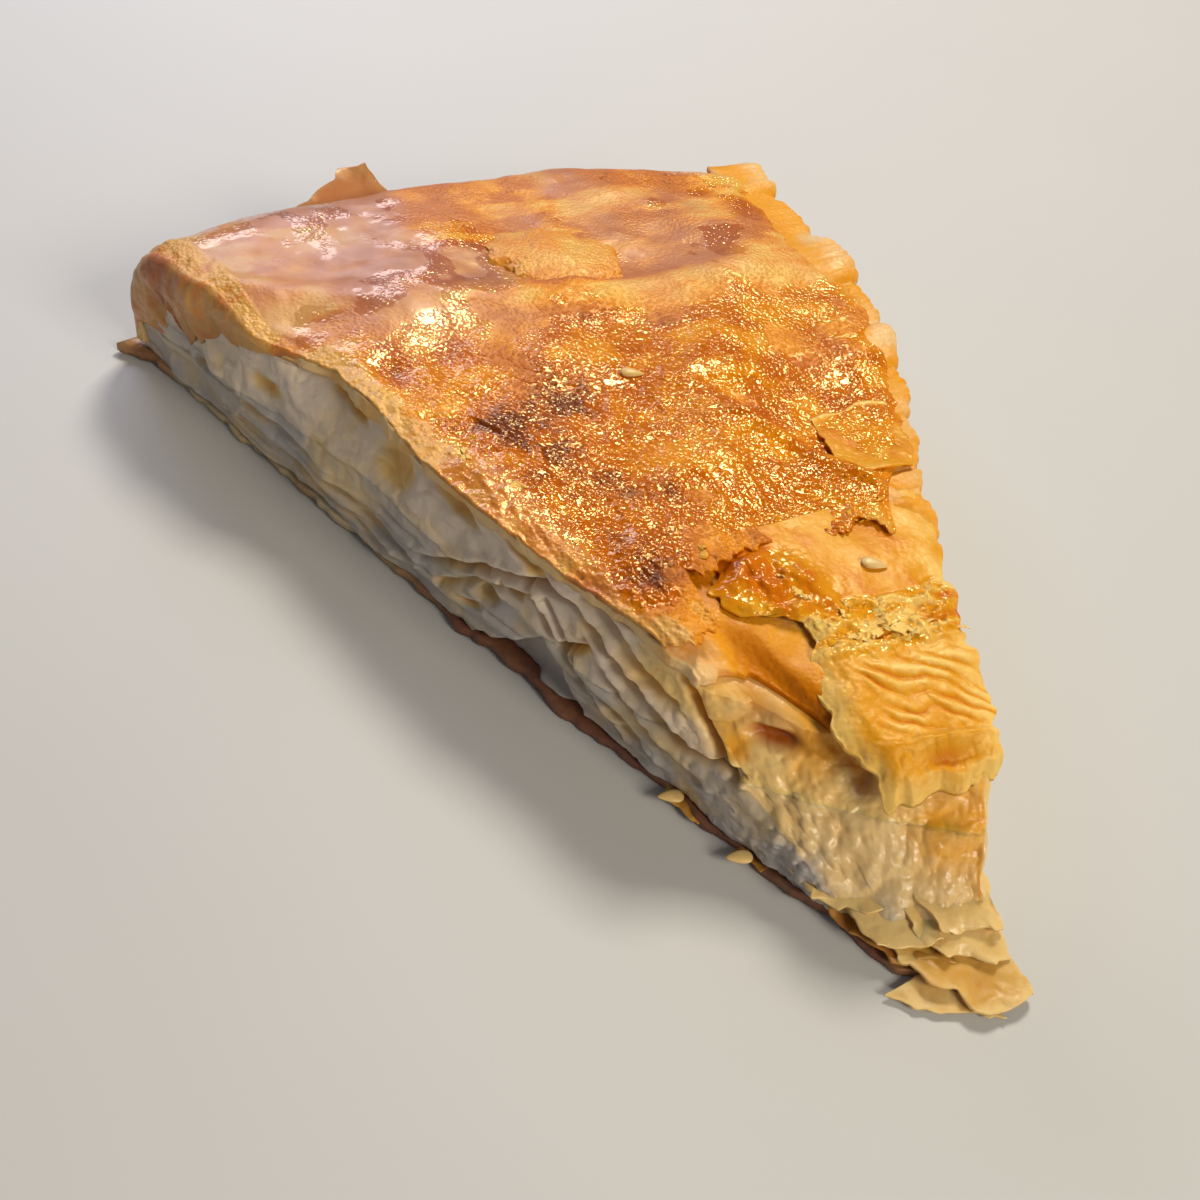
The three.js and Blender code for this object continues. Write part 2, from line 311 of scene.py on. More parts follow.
# A closed loft of loops (levels, points, 3), capped by rings that close in on the loop's middle
def loft(loops, values, capStep=10):
    levels, n = loops.shape[:2]
    verts = [loops.reshape(-1, 3)]
    grid = np.arange(levels * n).reshape(levels, n)
    after = np.roll(grid, -1, axis=1)
    wall = np.stack([grid[:-1], after[:-1], after[1:], grid[1:]], -1).reshape(-1, 4)
    faces = [tuple(quad) for quad in wall.tolist()]
    source = [np.arange(levels * n)]
    count = levels * n
    marks = np.arange(0, n, capStep)
    for level, upward in ((0, False), (levels - 1, True)):
        loop = loops[level]
        middle = loop.mean(0)
        verts.append(np.concatenate([mix(loop[marks], middle, 0.12), middle[None]]))
        source.append(np.concatenate([marks, marks[:1]]) + level * n)
        hub = count + len(marks)
        for k in range(len(marks)):
            nextK = (k + 1) % len(marks)
            last = marks[nextK] if nextK else n
            outer = [level * n + (j % n) for j in range(marks[k], last + 1)]
            for face in (outer + [count + nextK, count + k], [count + k, count + nextK, hub]):
                faces.append(tuple(int(i) for i in (face if upward else face[::-1])))
        count += len(marks) + 1
    source = np.concatenate(source)
    values = {k: v.reshape(-1)[source] for k, v in values.items()}
    return dict(verts=np.concatenate(verts), faces=faces, values=values)


def joined(parts):
    verts, faces, values, count = [], [], {}, 0
    for part in parts:
        verts.append(part["verts"])
        faces += [tuple(i + count for i in f) for f in part["faces"]]
        for key, v in part["values"].items():
            values.setdefault(key, []).append(v)
        count += len(part["verts"])
    values = {k: np.concatenate(v) for k, v in values.items()}
    return dict(verts=np.concatenate(verts), faces=faces, values=values)


def makePiece(name, part, material, nodes=()):
    mesh = bpy.data.meshes.new(name)
    verts = (part["verts"] - np.array([0, form["tipToOrigin"], 0])) * mm
    mesh.from_pydata(verts.tolist(), [], part["faces"])
    mesh.polygons.foreach_set("use_smooth", np.ones(len(mesh.polygons), bool))
    for key, v in part["values"].items():
        layer = mesh.attributes.new(key, "FLOAT", "POINT")
        layer.data.foreach_set("value", np.asarray(v, np.float32))
    mesh.materials.append(material)
    mesh.update()
    piece = bpy.data.objects.new(name, mesh)
    bpy.context.collection.objects.link(piece)
    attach(piece, "root")
    if nodes:
        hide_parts(*nodes)
    triangles = sum(len(p.vertices) - 2 for p in mesh.polygons)
    print("made", name, "with", triangles, "triangles")


# Materials

def tone(text):
    channels = [int(text[i:i + 2], 16) / 255 for i in (1, 3, 5)]
    return tuple(c / 12.92 if c <= 0.04045 else ((c + 0.055) / 1.055) ** 2.4 for c in channels) + (1.0,)


def addNode(tree, kind, x, y, **settings):
    node = tree.nodes.new(kind)
    node.location = (x, y)
    for key, value in settings.items():
        setattr(node, key, value)
    return node


# A plain value is set on the socket, anything else is linked to it
def feed(tree, socket, value):
    if isinstance(value, (int, float, tuple)):
        socket.default_value = value
    else:
        tree.links.new(value, socket)


def mathNode(tree, operation, x, y, *terms):
    node = addNode(tree, "ShaderNodeMath", x, y, operation=operation)
    for socket, value in zip(node.inputs, terms):
        feed(tree, socket, value)
    return node.outputs[0]


def mixColor(tree, x, y, factor, a, b, blend="MIX"):
    node = addNode(tree, "ShaderNodeMix", x, y, data_type="RGBA", blend_type=blend, clamp_factor=True)
    for index, value in ((0, factor), (6, a), (7, b)):
        feed(tree, node.inputs[index], value)
    return node.outputs[2]


def rangeNode(tree, x, y, value, low, high, toLow=0.0, toHigh=1.0):
    node = addNode(tree, "ShaderNodeMapRange", x, y, interpolation_type="SMOOTHSTEP")
    settings = {"Value": value, "From Min": low, "From Max": high, "To Min": toLow, "To Max": toHigh}
    for key, setting in settings.items():
        feed(tree, node.inputs[key], setting)
    return node.outputs[0]


def readValue(tree, name, x, y):
    return addNode(tree, "ShaderNodeAttribute", x, y, attribute_name=name).outputs["Fac"]


def newGroup(name, inputs, outputs):
    tree = bpy.data.node_groups.new(name, "ShaderNodeTree")
    for label, default in inputs.items():
        kind = "NodeSocketColor" if isinstance(default, tuple) else "NodeSocketFloat"
        socket = tree.interface.new_socket(label, in_out="INPUT", socket_type=kind)
        socket.default_value = default
    for label in outputs:
        kind = "NodeSocketColor" if label == "Color" else "NodeSocketFloat"
        tree.interface.new_socket(label, in_out="OUTPUT", socket_type=kind)
    start = addNode(tree, "NodeGroupInput", -900, 0)
    end = addNode(tree, "NodeGroupOutput", 900, 0)
    return tree, start.outputs, end.inputs


def useGroup(tree, group, x, y, **values):
    node = addNode(tree, "ShaderNodeGroup", x, y, node_tree=group)
    for key, value in values.items():
        feed(tree, node.inputs[key.replace("_", " ")], value)
    return node


def objectPlace(tree, x, y):
    return addNode(tree, "ShaderNodeTexCoord", x, y).outputs["Object"]


# Pastry grain: fine and broad mottling over a baked sheet, with a height for its crumb
def pastryGrainGroup():
    inputs = {"Fine Scale": 900.0, "Broad Scale": 120.0}
    tree, start, end = newGroup("pastryGrain", inputs, ("Fine", "Broad", "Height"))
    place = objectPlace(tree, -900, 300)
    mottling = {}
    for k, (key, detail) in enumerate((("Fine", 3.0), ("Broad", 4.0))):
        texture = addNode(tree, "ShaderNodeTexNoise", -500, 300 - 300 * k)
        settings = {"Vector": place, "Scale": start[key + " Scale"], "Detail": detail, "Roughness": 0.6}
        for label, setting in settings.items():
            feed(tree, texture.inputs[label], setting)
        mottling[key] = texture.outputs["Fac"]
        tree.links.new(mottling[key], end[key])
    pores = addNode(tree, "ShaderNodeTexVoronoi", -500, -300, feature="F1")
    tree.links.new(place, pores.inputs["Vector"])
    tree.links.new(start["Fine Scale"], pores.inputs["Scale"])
    dome = rangeNode(tree, -250, -300, pores.outputs["Distance"], 0.0, 0.75, 1.0, 0.0)
    height = mathNode(tree, "MULTIPLY_ADD", 0, -200, mottling["Fine"], 0.6, dome)
    tree.links.new(height, end["Height"])
    return tree


# Foil: the little oily blisters of a crisp sheet as a height, and a mask of their tops, which are painted
# pale: partly their own paler colour, partly painted glints
def foilGroup():
    tree, start, end = newGroup("foil", {"Scale": 1000.0, "Density": 0.6}, ("PaleTopsAndGlints", "Height"))
    blister = addNode(tree, "ShaderNodeTexVoronoi", -850, 200, feature="F1")
    tree.links.new(objectPlace(tree, -1100, 200), blister.inputs["Vector"])
    tree.links.new(start["Scale"], blister.inputs["Scale"])
    distance = blister.outputs["Distance"]
    square = mathNode(tree, "MULTIPLY", -650, 200, distance, distance)
    curve = mathNode(tree, "MULTIPLY_ADD", -450, 200, square, -3.2, 1.0)
    dome = mathNode(tree, "MAXIMUM", -250, 200, curve, 0.0)
    raised = mathNode(tree, "MULTIPLY", -50, 200, dome, blister.outputs["Color"])
    strength = mathNode(tree, "MULTIPLY_ADD", -250, -100, start["Density"], 0.9, 0.1)
    tops = rangeNode(tree, 200, 0, raised, 0.25, 0.6)
    tree.links.new(mathNode(tree, "MULTIPLY", 400, 0, tops, start["Density"]), end["PaleTopsAndGlints"])
    tree.links.new(mathNode(tree, "MULTIPLY", 200, 200, raised, strength), end["Height"])
    return tree


# Bake tone: raw, gold, amber and burnt colours picked by how far the pastry is baked
def bakeToneGroup():
    inputs = {"Browning": 0.5, "Raw": tone("#E3CD96"), "Gold": tone("#D9A452"), "Amber": tone("#B9701F"),
              "Burnt": tone("#5A2412")}
    tree, start, end = newGroup("bakeTone", inputs, ("Color",))
    color = start["Raw"]
    for k, (key, low, high) in enumerate((("Gold", 0.05, 0.4), ("Amber", 0.35, 0.7), ("Burnt", 0.7, 1.0))):
        baked = rangeNode(tree, -550, 300 - 300 * k, start["Browning"], low, high)
        color = mixColor(tree, -300 + 300 * k, 200 - 100 * k, baked, color, start[key])
    tree.links.new(color, end["Color"])
    return tree


# Cream mottle: tones of moist filling, a cool one (partly painted shade) and warm ones (partly painted
# light), and brown where baked and as painted shade in hollows by depth, with a height for its fine curd
def creamMottleGroup():
    inputs = {"Scale": 260.0, "Depth": 0.5, "Warm": 0.5, "Brown": 0.0, "Cool Tone": tone("#D9CFBC"),
              "Cream Tone": tone("#EFDDB0"), "Fatty Tone": tone("#E9BE5C"), "Brown Tone": tone("#9A5A2A")}
    tree, start, end = newGroup("creamMottle", inputs, ("Color", "Height", "Wet"))
    place = objectPlace(tree, -1100, 300)
    broad = addNode(tree, "ShaderNodeTexNoise", -900, 400)
    fine = addNode(tree, "ShaderNodeTexNoise", -900, -200)
    for node, scale in ((broad, 170.0), (fine, start["Scale"])):
        for label, setting in {"Vector": place, "Detail": 4.0, "Scale": scale}.items():
            feed(tree, node.inputs[label], setting)
    shift = mathNode(tree, "MULTIPLY_ADD", -650, 300, broad.outputs["Fac"], 0.7, -0.35)
    shade = mathNode(tree, "MULTIPLY_ADD", -650, 100, start["Depth"], -0.5, 0.25)
    warm = mathNode(tree, "ADD", -450, 300, start["Warm"], mathNode(tree, "ADD", -550, 200, shift, shade))
    brown = mathNode(tree, "MULTIPLY_ADD", -450, -50, shade, 0.5, start["Brown"])
    color = start["Cool Tone"]
    steps = (("Cream Tone", warm, 0.0, 0.55), ("Fatty Tone", warm, 0.5, 1.15),
             ("Brown Tone", brown, 0.08, 0.95))
    for k, (key, value, low, high) in enumerate(steps):
        share = rangeNode(tree, -350, 400 - 200 * k, value, low, high)
        color = mixColor(tree, -250 + 200 * k, 300 - 50 * k, share, color, start[key])
    tree.links.new(color, end["Color"])
    tree.links.new(fine.outputs["Fac"], end["Height"])
    tree.links.new(rangeNode(tree, 0, -300, fine.outputs["Fac"], 0.35, 0.7), end["Wet"])
    return tree


pastryGrain = pastryGrainGroup()
foil = foilGroup()
bakeTone = bakeToneGroup()
creamMottle = creamMottleGroup()


def newMaterial(name):
    material = bpy.data.materials.new(name)
    material.use_nodes = True
    tree = material.node_tree
    return material, tree, tree.nodes["Principled BSDF"]


# What every finish has: sheen, the light that it scatters (in mm for red, green and blue) and a bump
def setCommon(tree, shader, look, height):
    bump = addNode(tree, "ShaderNodeBump", 200, -400)
    bump.inputs["Strength"].default_value = look["bump"]
    bump.inputs["Distance"].default_value = look["bumpMm"] * mm
    tree.links.new(height, bump.inputs["Height"])
    tree.links.new(bump.outputs["Normal"], shader.inputs["Normal"])
    shader.inputs["Coat Roughness"].default_value = look["coatRoughness"]
    shader.inputs["Specular IOR Level"].default_value = look["specular"]
    shader.inputs["Subsurface Weight"].default_value = look["scatter"]
    shader.inputs["Subsurface Radius"].default_value = look["scatterMm"]
    shader.inputs["Subsurface Scale"].default_value = mm


def crustMaterial(name, look):
    material, tree, shader = newMaterial(name)
    shader.location = (800, 0)
    scales = dict(Fine_Scale=look["fine"], Broad_Scale=look["broad"])
    grain = useGroup(tree, pastryGrain, -1100, -300, **scales).outputs
    browning = readValue(tree, "browning", -1100, 200)
    for k, (key, share) in enumerate((("Broad", look["broadShare"]), ("Fine", look["fineShare"]))):
        part = mathNode(tree, "MULTIPLY_ADD", -850, 200 - 200 * k, grain[key], share, -0.5 * share)
        browning = mathNode(tree, "ADD", -650, 250 - 100 * k, browning, part)
    height = mathNode(tree, "MULTIPLY", -650, -350, grain["Height"], look["grainHeight"])
    color = useGroup(tree, bakeTone, -100, 150, Browning=browning, **look["tones"]).outputs["Color"]
    rough = rangeNode(tree, 0, -150, grain["Broad"], 0.3, 0.7, look["smooth"], look["rough"])
    if look["foil"]:
        # crisp spots lose the crumb, and get blisters and a smooth oily face instead; the blister tops are
        # painted pale, partly as painted glints
        blistered = readValue(tree, "blistered", -1100, 500)
        shiny = mathNode(tree, "ADD", -1000, -500, blistered, readValue(tree, "glazed", -1200, -500))
        dull = mathNode(tree, "MAXIMUM", -700, -500, mathNode(tree, "SUBTRACT", -850, -500, 1.0, shiny), 0.0)
        height = mathNode(tree, "MULTIPLY", -550, -450, height, dull)
        for k, (scale, bright, rise) in enumerate(look["foil"]):
            sheen = useGroup(tree, foil, -850, 700 - 200 * k, Scale=scale, Density=blistered).outputs
            some = mathNode(tree, "MULTIPLY", -450, 700 - 200 * k, sheen["PaleTopsAndGlints"], bright)
            # blister tops painted paler: their own paler colour and painted glints
            color = mixColor(tree, 100 + 200 * k, 400, some, color, look["paleTopGlintTone"], "DODGE")
            raised = mathNode(tree, "MULTIPLY", -450, 500 - 200 * k, sheen["Height"], rise)
            height = mathNode(tree, "ADD", -200, -300 - 100 * k, height, raised)
        crisp = rangeNode(tree, -250, 500, blistered, 0.04, 0.2, 1.0, look["oily"])
        rough = mathNode(tree, "MULTIPLY", 200, -150, rough, crisp)
    coat = look["coat"]
    if look["glazed"]:
        glazed = readValue(tree, "glazed", 200, 300)
        tinted = mathNode(tree, "MULTIPLY", 400, 500, glazed, look["glazeShare"])
        color = mixColor(tree, 600, 400, tinted, color, look["glazeTone"])
        coat = mathNode(tree, "MULTIPLY", 400, 300, glazed, look["coat"])
    feed(tree, shader.inputs["Coat Weight"], coat)
    tree.links.new(color, shader.inputs["Base Color"])
    tree.links.new(rough, shader.inputs["Roughness"])
    shader.inputs["Specular Tint"].default_value = look["specularTint"]
    setCommon(tree, shader, look, height)
    return material


def fillingMaterial(name, look):
    material, tree, shader = newMaterial(name)
    shader.location = (600, 0)
    masks = {}
    for k, key in enumerate(("depth", "warm", "brown")):
        masks[key.capitalize()] = readValue(tree, key, -600, -150 * k)
    mottle = useGroup(tree, creamMottle, -300, 100, Scale=look["scale"], **masks, **look["tones"]).outputs
    rough = rangeNode(tree, 0, -150, mottle["Wet"], 0.0, 1.0, look["smooth"], look["rough"])
    tree.links.new(mottle["Color"], shader.inputs["Base Color"])
    tree.links.new(rough, shader.inputs["Roughness"])
    shader.inputs["Coat Weight"].default_value = look["coat"]
    setCommon(tree, shader, look, mottle["Height"])
    return material


# Finishes. A foil row is the blisters' scale, how pale their tops are painted (partly painted glints), and
# how high they stand
skinLook = dict(
    fine=1500.0, broad=170.0, broadShare=0.65, fineShare=0.4, smooth=0.42, rough=0.55, grainHeight=0.3,
    specular=0.85, specularTint=tone("#FFD880"), coat=0.4, coatRoughness=0.35, oily=0.22,
    glazed=True, glazeShare=0.7, glazeTone=tone("#9C6450"),
    foil=[(1050.0, 0.6, 0.42), (2000.0, 0.5, 0.12)], paleTopGlintTone=(0.36, 0.44, 0.3, 1.0),
    scatter=0.1, scatterMm=(0.8, 0.35, 0.1), bump=1.0, bumpMm=0.6,
    tones=dict(Raw=tone("#E2AA4A"), Gold=tone("#DA840A"), Amber=tone("#B85A00"), Burnt=tone("#6A2A0A")))
frontLook = dict(
    fine=1300.0, broad=160.0, broadShare=0.4, fineShare=0.25, smooth=0.38, rough=0.5, grainHeight=0.05,
    specular=0.45, specularTint=tone("#FFD890"), coat=0.02, coatRoughness=0.2, oily=0.28, glazed=False,
    foil=[(800.0, 0.6, 0.55), (1500.0, 0.5, 0.16)], paleTopGlintTone=(0.34, 0.4, 0.3, 1.0),
    scatter=0.35, scatterMm=(0.7, 0.45, 0.15), bump=1.0, bumpMm=0.6,
    tones=dict(Raw=tone("#EAC068"), Gold=tone("#D89416"), Amber=tone("#C86A06"), Burnt=tone("#7E300A")))
# shared by the crusts with no foil and no glaze
plainCrust = dict(grainHeight=1.0, coatRoughness=0.2, glazed=False, foil=[], bumpMm=0.15)
sheetLook = dict(
    plainCrust,
    fine=1300.0, broad=150.0, broadShare=0.3, fineShare=0.25, smooth=0.35, rough=0.6,
    specular=0.3, specularTint=tone("#FFE4A8"), coat=0.03,
    scatter=0.4, scatterMm=(0.7, 0.4, 0.14), bump=0.4,
    tones=dict(Raw=tone("#E2BE88"), Gold=tone("#DE961C"), Amber=tone("#C06E00"), Burnt=tone("#7A320A")))
tipLook = dict(
    plainCrust,
    fine=900.0, broad=130.0, broadShare=0.3, fineShare=0.2, smooth=0.3, rough=0.55,
    specular=0.4, specularTint=tone("#FFF4E0"), coat=0.12,
    scatter=0.4, scatterMm=(0.7, 0.45, 0.2), bump=0.35,
    tones=dict(Raw=tone("#DCBC7C"), Gold=tone("#C8963E"), Amber=tone("#9A5C24"), Burnt=tone("#54301C")))
bottomLook = dict(
    plainCrust,
    fine=900.0, broad=140.0, broadShare=0.5, fineShare=0.25, smooth=0.35, rough=0.6,
    specular=0.3, specularTint=tone("#FFFFFF"), coat=0.15,
    scatter=0.2, scatterMm=(0.6, 0.35, 0.2), bump=0.3,
    tones=dict(Raw=tone("#C8B28A"), Gold=tone("#A87C4C"), Amber=tone("#7C4E38"), Burnt=tone("#42241A")))
# cool shade tone: the filling's own colour, painted greyer as shade for the left cut
curdLook = dict(
    scale=1100.0, smooth=0.3, rough=0.6, specular=0.4, coat=0.04, coatRoughness=0.14,
    scatter=0.6, scatterMm=(1.0, 0.8, 0.5), bump=0.6, bumpMm=0.2,
    tones=dict(Cool_Tone=tone("#D6C4B0"), Cream_Tone=tone("#EAC57C"), Fatty_Tone=tone("#EAA628"),
               Brown_Tone=tone("#A85A16")))
pastryLook = dict(
    scale=800.0, smooth=0.3, rough=0.55, specular=0.4, coat=0.08, coatRoughness=0.16,
    scatter=0.6, scatterMm=(0.9, 0.9, 0.8), bump=0.6, bumpMm=0.2,
    tones=dict(Cool_Tone=tone("#B4ABA3"), Cream_Tone=tone("#DEBE84"), Fatty_Tone=tone("#E2A53A"),
               Brown_Tone=tone("#7C4A2C")))

skinFinish = crustMaterial("brownedSkin", skinLook)
frontFinish = crustMaterial("frontSheets", frontLook)
sheetFinish = crustMaterial("goldenSheets", sheetLook)
tipFinish = crustMaterial("tipSheets", tipLook)
bottomFinish = crustMaterial("bottomCrust", bottomLook)
curdFinish = fillingMaterial("cheeseCurd", curdLook)
pastryFinish = fillingMaterial("softPastry", pastryLook)
print("finishes made")


# The golden sheets of the top crust: where they end at the front, and how far they droop there
sheets = dict(
    rows=230, columns=170, topShare=0.8, rollShare=0.14, depth=0.9, thickness=2.1,
    droopReach=6.5, droopBelow=0.85, lumps=0.4, crumbs=0.6, browning=0.26, pocketBrowningAndGlow=0.5,
    acrossMarks=[-1, -0.8, -0.69, -0.6, -0.53, -0.49, -0.45, -0.4, 0, 1],
    startMarks=[47, 46, 45.5, 44.5, 41, 37.5, 34, 31, 29, 27],
    droopMarks=[0.6, 0.8, 1.2, 1.7, 1.9, 1.9, 1.8, 1.6, 1.2, 1.0])

# How far the top of the left cut has crumbled back, by radius
crumbled = dict(radius=[85, 96, 105, 112, 119, 125.5, 132], back=[0, 1.3, 2.3, 3.4, 4.6, 2.4, 0])


def crumbledBack(radius):
    return np.interp(radius, crumbled["radius"], crumbled["back"])


def frontEdge(across):
    return np.interp(across, sheets["acrossMarks"], sheets["startMarks"])


def frontDroop(across, edge):
    droop = np.interp(across, sheets["acrossMarks"], sheets["droopMarks"])
    return droop * bell(np.maximum(edge, 0), sheets["droopReach"])


# Filling layers: a fine ribbon round the perimeter, closed by coarse caps

ribbon = dict(
    left=560, tip=150, right=360, rim=36, levels=58,
    heights=[0, 4, 8, 12, 17, 22], leftStart=[17, 20, 25, 33, 43, 48],    # where the torn front meets a cut
    rightStart=[8.5, 9.5, 11.6, 14.3, 17.7, 21.5], bulge=1.6, underFlap=1.7, cornerReach=40, cornerPasses=120)


def ribbonBase(floorAt, ceilingAt):
    v = np.linspace(0, 1, ribbon["levels"])[:, None]
    tipZ = mix(floorAt(0.0, 20.0), ceilingAt(0.0, 20.0), v)
    rimZ = mix(floorAt(0.0, rollStart), ceilingAt(0.0, rollStart), v)
    end = fillingEnd(rimZ)
    yLeft = np.interp(tipZ, ribbon["heights"], ribbon["leftStart"])
    yRight = np.interp(tipZ, ribbon["heights"], ribbon["rightStart"])
    xLeft, xRight = -leftCutX(yLeft), rightCutX(yRight)
    s = np.linspace(0, 1, ribbon["tip"] + 2)[None, 1:-1]
    leftRadius = mix(end, np.hypot(xLeft, yLeft), (np.linspace(0, 1, ribbon["left"]) ** 0.85)[None, :])
    rightRadius = mix(np.hypot(xRight, yRight), end, (np.linspace(0, 1, ribbon["right"]) ** 1.2)[None, :])
    rimAcross = np.linspace(1, -1, ribbon["rim"] + 2)[None, 1:-1] + 0 * v
    leftX, leftY = planAt(-np.ones(leftRadius.shape), leftRadius)
    rightX, rightY = planAt(np.ones(rightRadius.shape), rightRadius)
    rimX, rimY = planAt(rimAcross, end + 0 * rimAcross)
    swell = ribbon["bulge"] * np.sin(np.pi * s)
    x = np.concatenate([leftX, mix(xLeft, xRight, s) - 0.6 * swell, rightX, rimX], 1)
    y = np.concatenate([leftY, mix(yLeft, yRight, s) - 0.8 * swell, rightY, rimY], 1)
    across = np.concatenate([0 * leftX - 1, mix(-1, 1, s) + 0 * v, 0 * rightX + 1, rimAcross], 1)
    onRim = np.concatenate([0 * leftX, 0 * s + 0 * v, 0 * rightX, 0 * rimX + 1], 1)
    # round off the two corners of the tip
    reach = ribbon["cornerReach"]
    near = slice(ribbon["left"] - reach, ribbon["left"] + ribbon["tip"] + reach)
    for _ in range(ribbon["cornerPasses"]):
        for w in (x, y):
            w[:, near] = 0.5 * w[:, near] + 0.25 * (np.roll(w, 1, 1)[:, near] + np.roll(w, -1, 1)[:, near])
    radius = np.hypot(x, y)
    z = mix(floorAt(x, y), ceilingAt(x, y), v)
    z = mix(z, rimZ + 0 * x, ease(rollStart - 12, end, radius))
    return dict(x=x, y=y, z=z, v=v + 0 * x, across=across, radius=radius, seen=1 - onRim)


# What shows on the left cut: folds as lines of (radius, height), holes, and the hollow above the bottom crust
leftCut = dict(
    folds=[
        dict(line=[(97, 8.0), (88, 12), (82, 15.4), (75, 18.6), (69, 19.4), (64, 16.9), (59, 14.3),
                   (55, 12.9), (49, 10.2), (44, 10.8), (38, 13)], width=0.7, depth=2.0, lip=0.8),
        dict(line=[(93, 5.5), (86, 10.8), (80, 13.4), (75, 14.8)], width=0.55, depth=1.1, lip=0.5),
        dict(line=[(77, 17), (71, 11.2), (64, 6.4), (58, 3.4)], width=0.6, depth=1.5, lip=0.6),
        dict(line=[(73, 16.5), (66.5, 9.6), (60, 6.8), (52, 4.2)], width=0.5, depth=0.9, lip=0.5),
        dict(line=[(66, 15), (59, 10.2), (52, 7.4), (44, 6.4)], width=0.5, depth=0.8, lip=0.5),
        dict(line=[(66, 22), (60, 19.3), (56, 16.4), (51, 15.3)], width=0.9, depth=1.3, lip=0.5),
        dict(line=[(50.5, 22), (48.4, 19.5), (46, 16), (43.3, 13.6), (40, 11.2)],
             width=0.8, depth=2.0, lip=0.9),
        dict(line=[(152, 9), (131, 9), (113, 7.6), (99, 5)], width=0.9, depth=0.8, lip=0.5),
        dict(line=[(140, 5), (120, 4.6), (104, 3.4)], width=0.8, depth=0.7, lip=0.4)],
    # a hole's browning is shade painted into it
    holes=[   # radius, height, half length, half height, slope, depth, browning
        (83.6, 9.7, 1.9, 1.3, 0.3, 2.8, 0.35), (79.6, 13.6, 1.7, 0.5, -0.2, 2.2, 0.5),
        (67.7, 12.1, 2.3, 0.8, 0.7, 2.8, 0.45), (86.5, 6.2, 2.0, 0.6, 0.3, 1.6, 0.3),
        (77.0, 21.0, 5.5, 0.9, -0.33, 1.6, 0.4), (91.0, 20.0, 4.6, 1.1, -0.1, 1.5, 0.4),
        (104.5, 18.0, 4.2, 2.8, 0.0, 1.5, 0.3), (117.0, 20.6, 4.0, 0.8, -0.1, 1.4, 0.75),
        (133.5, 14.8, 3.4, 1.5, 0.1, 1.2, 0.3), (49.0, 10.9, 1.4, 0.8, 0.4, 1.6, 0.35)],
    foldDepth=1.3, hollowDepth=2.4, hollow=[(63.5, 1.0), (73, 9.6), (86, 1.0)])

# What shows on the torn front, as (x, y, height) and then the size: cavities also have a depth and a
# browning, which is shade painted into them
tornFront = dict(
    cavities=[(-13.0, 36.0, 17.0, 3.3, 1.2, 2.4, 0.85), (-6.0, 26.2, 17.0, 1.5, 2.0, 2.2, 0.7)],
    yellow=[(2.1, 18.4, 13.0, 3.4), (-7.0, 33.0, 18.5, 3.0), (-17.0, 38.0, 14.0, 2.2)],
    white=[(-12.6, 26.0, 6.5, 6.0)], baked=(-12.5, 38))


# How far each kind of crumb stands out, in mm: curd from broad to fine, then the folded pastry
cutCrumb = dict(swells=1.2, curds=1.0, ripples=0.3, grit=0.3, crisp=0.14, fine=0.05, tiny=0.03,
                folded=1.0, foldedRipples=0.35, foldedFine=0.06, streaks=0.5, layers=0.9)


# Crumb of the cut and torn sides: how far it stands out, how deep it lies, which paints shade into its
# hollows, and how warm it is, painted in shade on the left cut and lit on the torn front
def crumbRelief(base, torn, curdy):
    x, y, z, radius, across = (base[k] for k in ("x", "y", "z", "radius", "across"))
    here = (x, y, z)
    shifts = ((x, 1.5, 31), (y, 1.5, 32), (z, 1.2, 33))
    wx, wy, wz = (w + by * speckle(here, 4, seed) for w, by, seed in shifts)
    big = np.abs(noise(wx / 7.0, wy / 7.0, wz / 5.0, 41)) - 0.3
    mid = np.abs(noise(wx / 2.6, wy / 2.6, wz / 2.2, 42)) - 0.3
    fine = noise(x / 1.1, y / 1.1, z / 1.0, 43)
    tiny = cutCrumb["tiny"] * speckle(here, 0.5, 44)
    layers = noise(radius / 20, across, (z + 1.6 * noise(radius / 15, across, 2, 45)) / 1.7, 46)
    streak = noise(x / 4, y / 4, z / 11, 47)
    soft = fbm(wx / 9, wy / 9, wz / 6, 48, 2)
    clot, own = cells(wx / 3.4, wy / 3.4, wz / 2.8, 57)
    curds = np.clip(1 - clot ** 2, 0, 1) * (0.5 + 0.5 * own) - 0.5
    bits, _ = cells(x / 1.5, y / 1.5, z / 1.3, 58)
    grit = np.clip(1 - bits ** 2, 0, 1) - 0.6
    crisp = np.abs(speckle(here, 0.9, 59)) - 0.3
    asCurd = (cutCrumb["swells"] * big + cutCrumb["curds"] * curds + cutCrumb["ripples"] * mid
              + cutCrumb["grit"] * grit + cutCrumb["crisp"] * crisp + cutCrumb["fine"] * fine + tiny)
    asPastry = (cutCrumb["folded"] * soft + cutCrumb["foldedRipples"] * mid + cutCrumb["foldedFine"] * fine
                + tiny)
    lined = mix(cutCrumb["streaks"] * streak, cutCrumb["layers"] * np.abs(layers), ease(13, 9, z))
    asPastry = asPastry + lined
    out = mix(asPastry, asCurd, curdy)
    depth = 0.5 + mix(0.25 * mid + 0.1 * streak, 0.3 * big + 0.4 * curds + 0.15 * grit, curdy)
    # painted light and shade: the left cut is painted in shade, the torn front lit and warmer to its top and
    # right; more warmth on the right side and low on the torn front
    shade = 0.14 + 0.25 * fbm(x / 12, y / 12, z / 6, 49, 2)
    sunny = 0.52 + 0.35 * clouds(here, 6, 50, 2) + 0.34 * ease(12, 19, z) + 0.15 * ease(-6, 6, x)
    warm = mix(shade, sunny, np.maximum(torn, 0.6 * curdy))
    warm = warm + 0.3 * (across > 0.9) + 0.12 * torn * ease(12.5, 10.5, z)
    floorOfHollow = -leftCut["hollowDepth"] + 0.4 * (mid + 0.3)
    return out, depth, warm, floorOfHollow
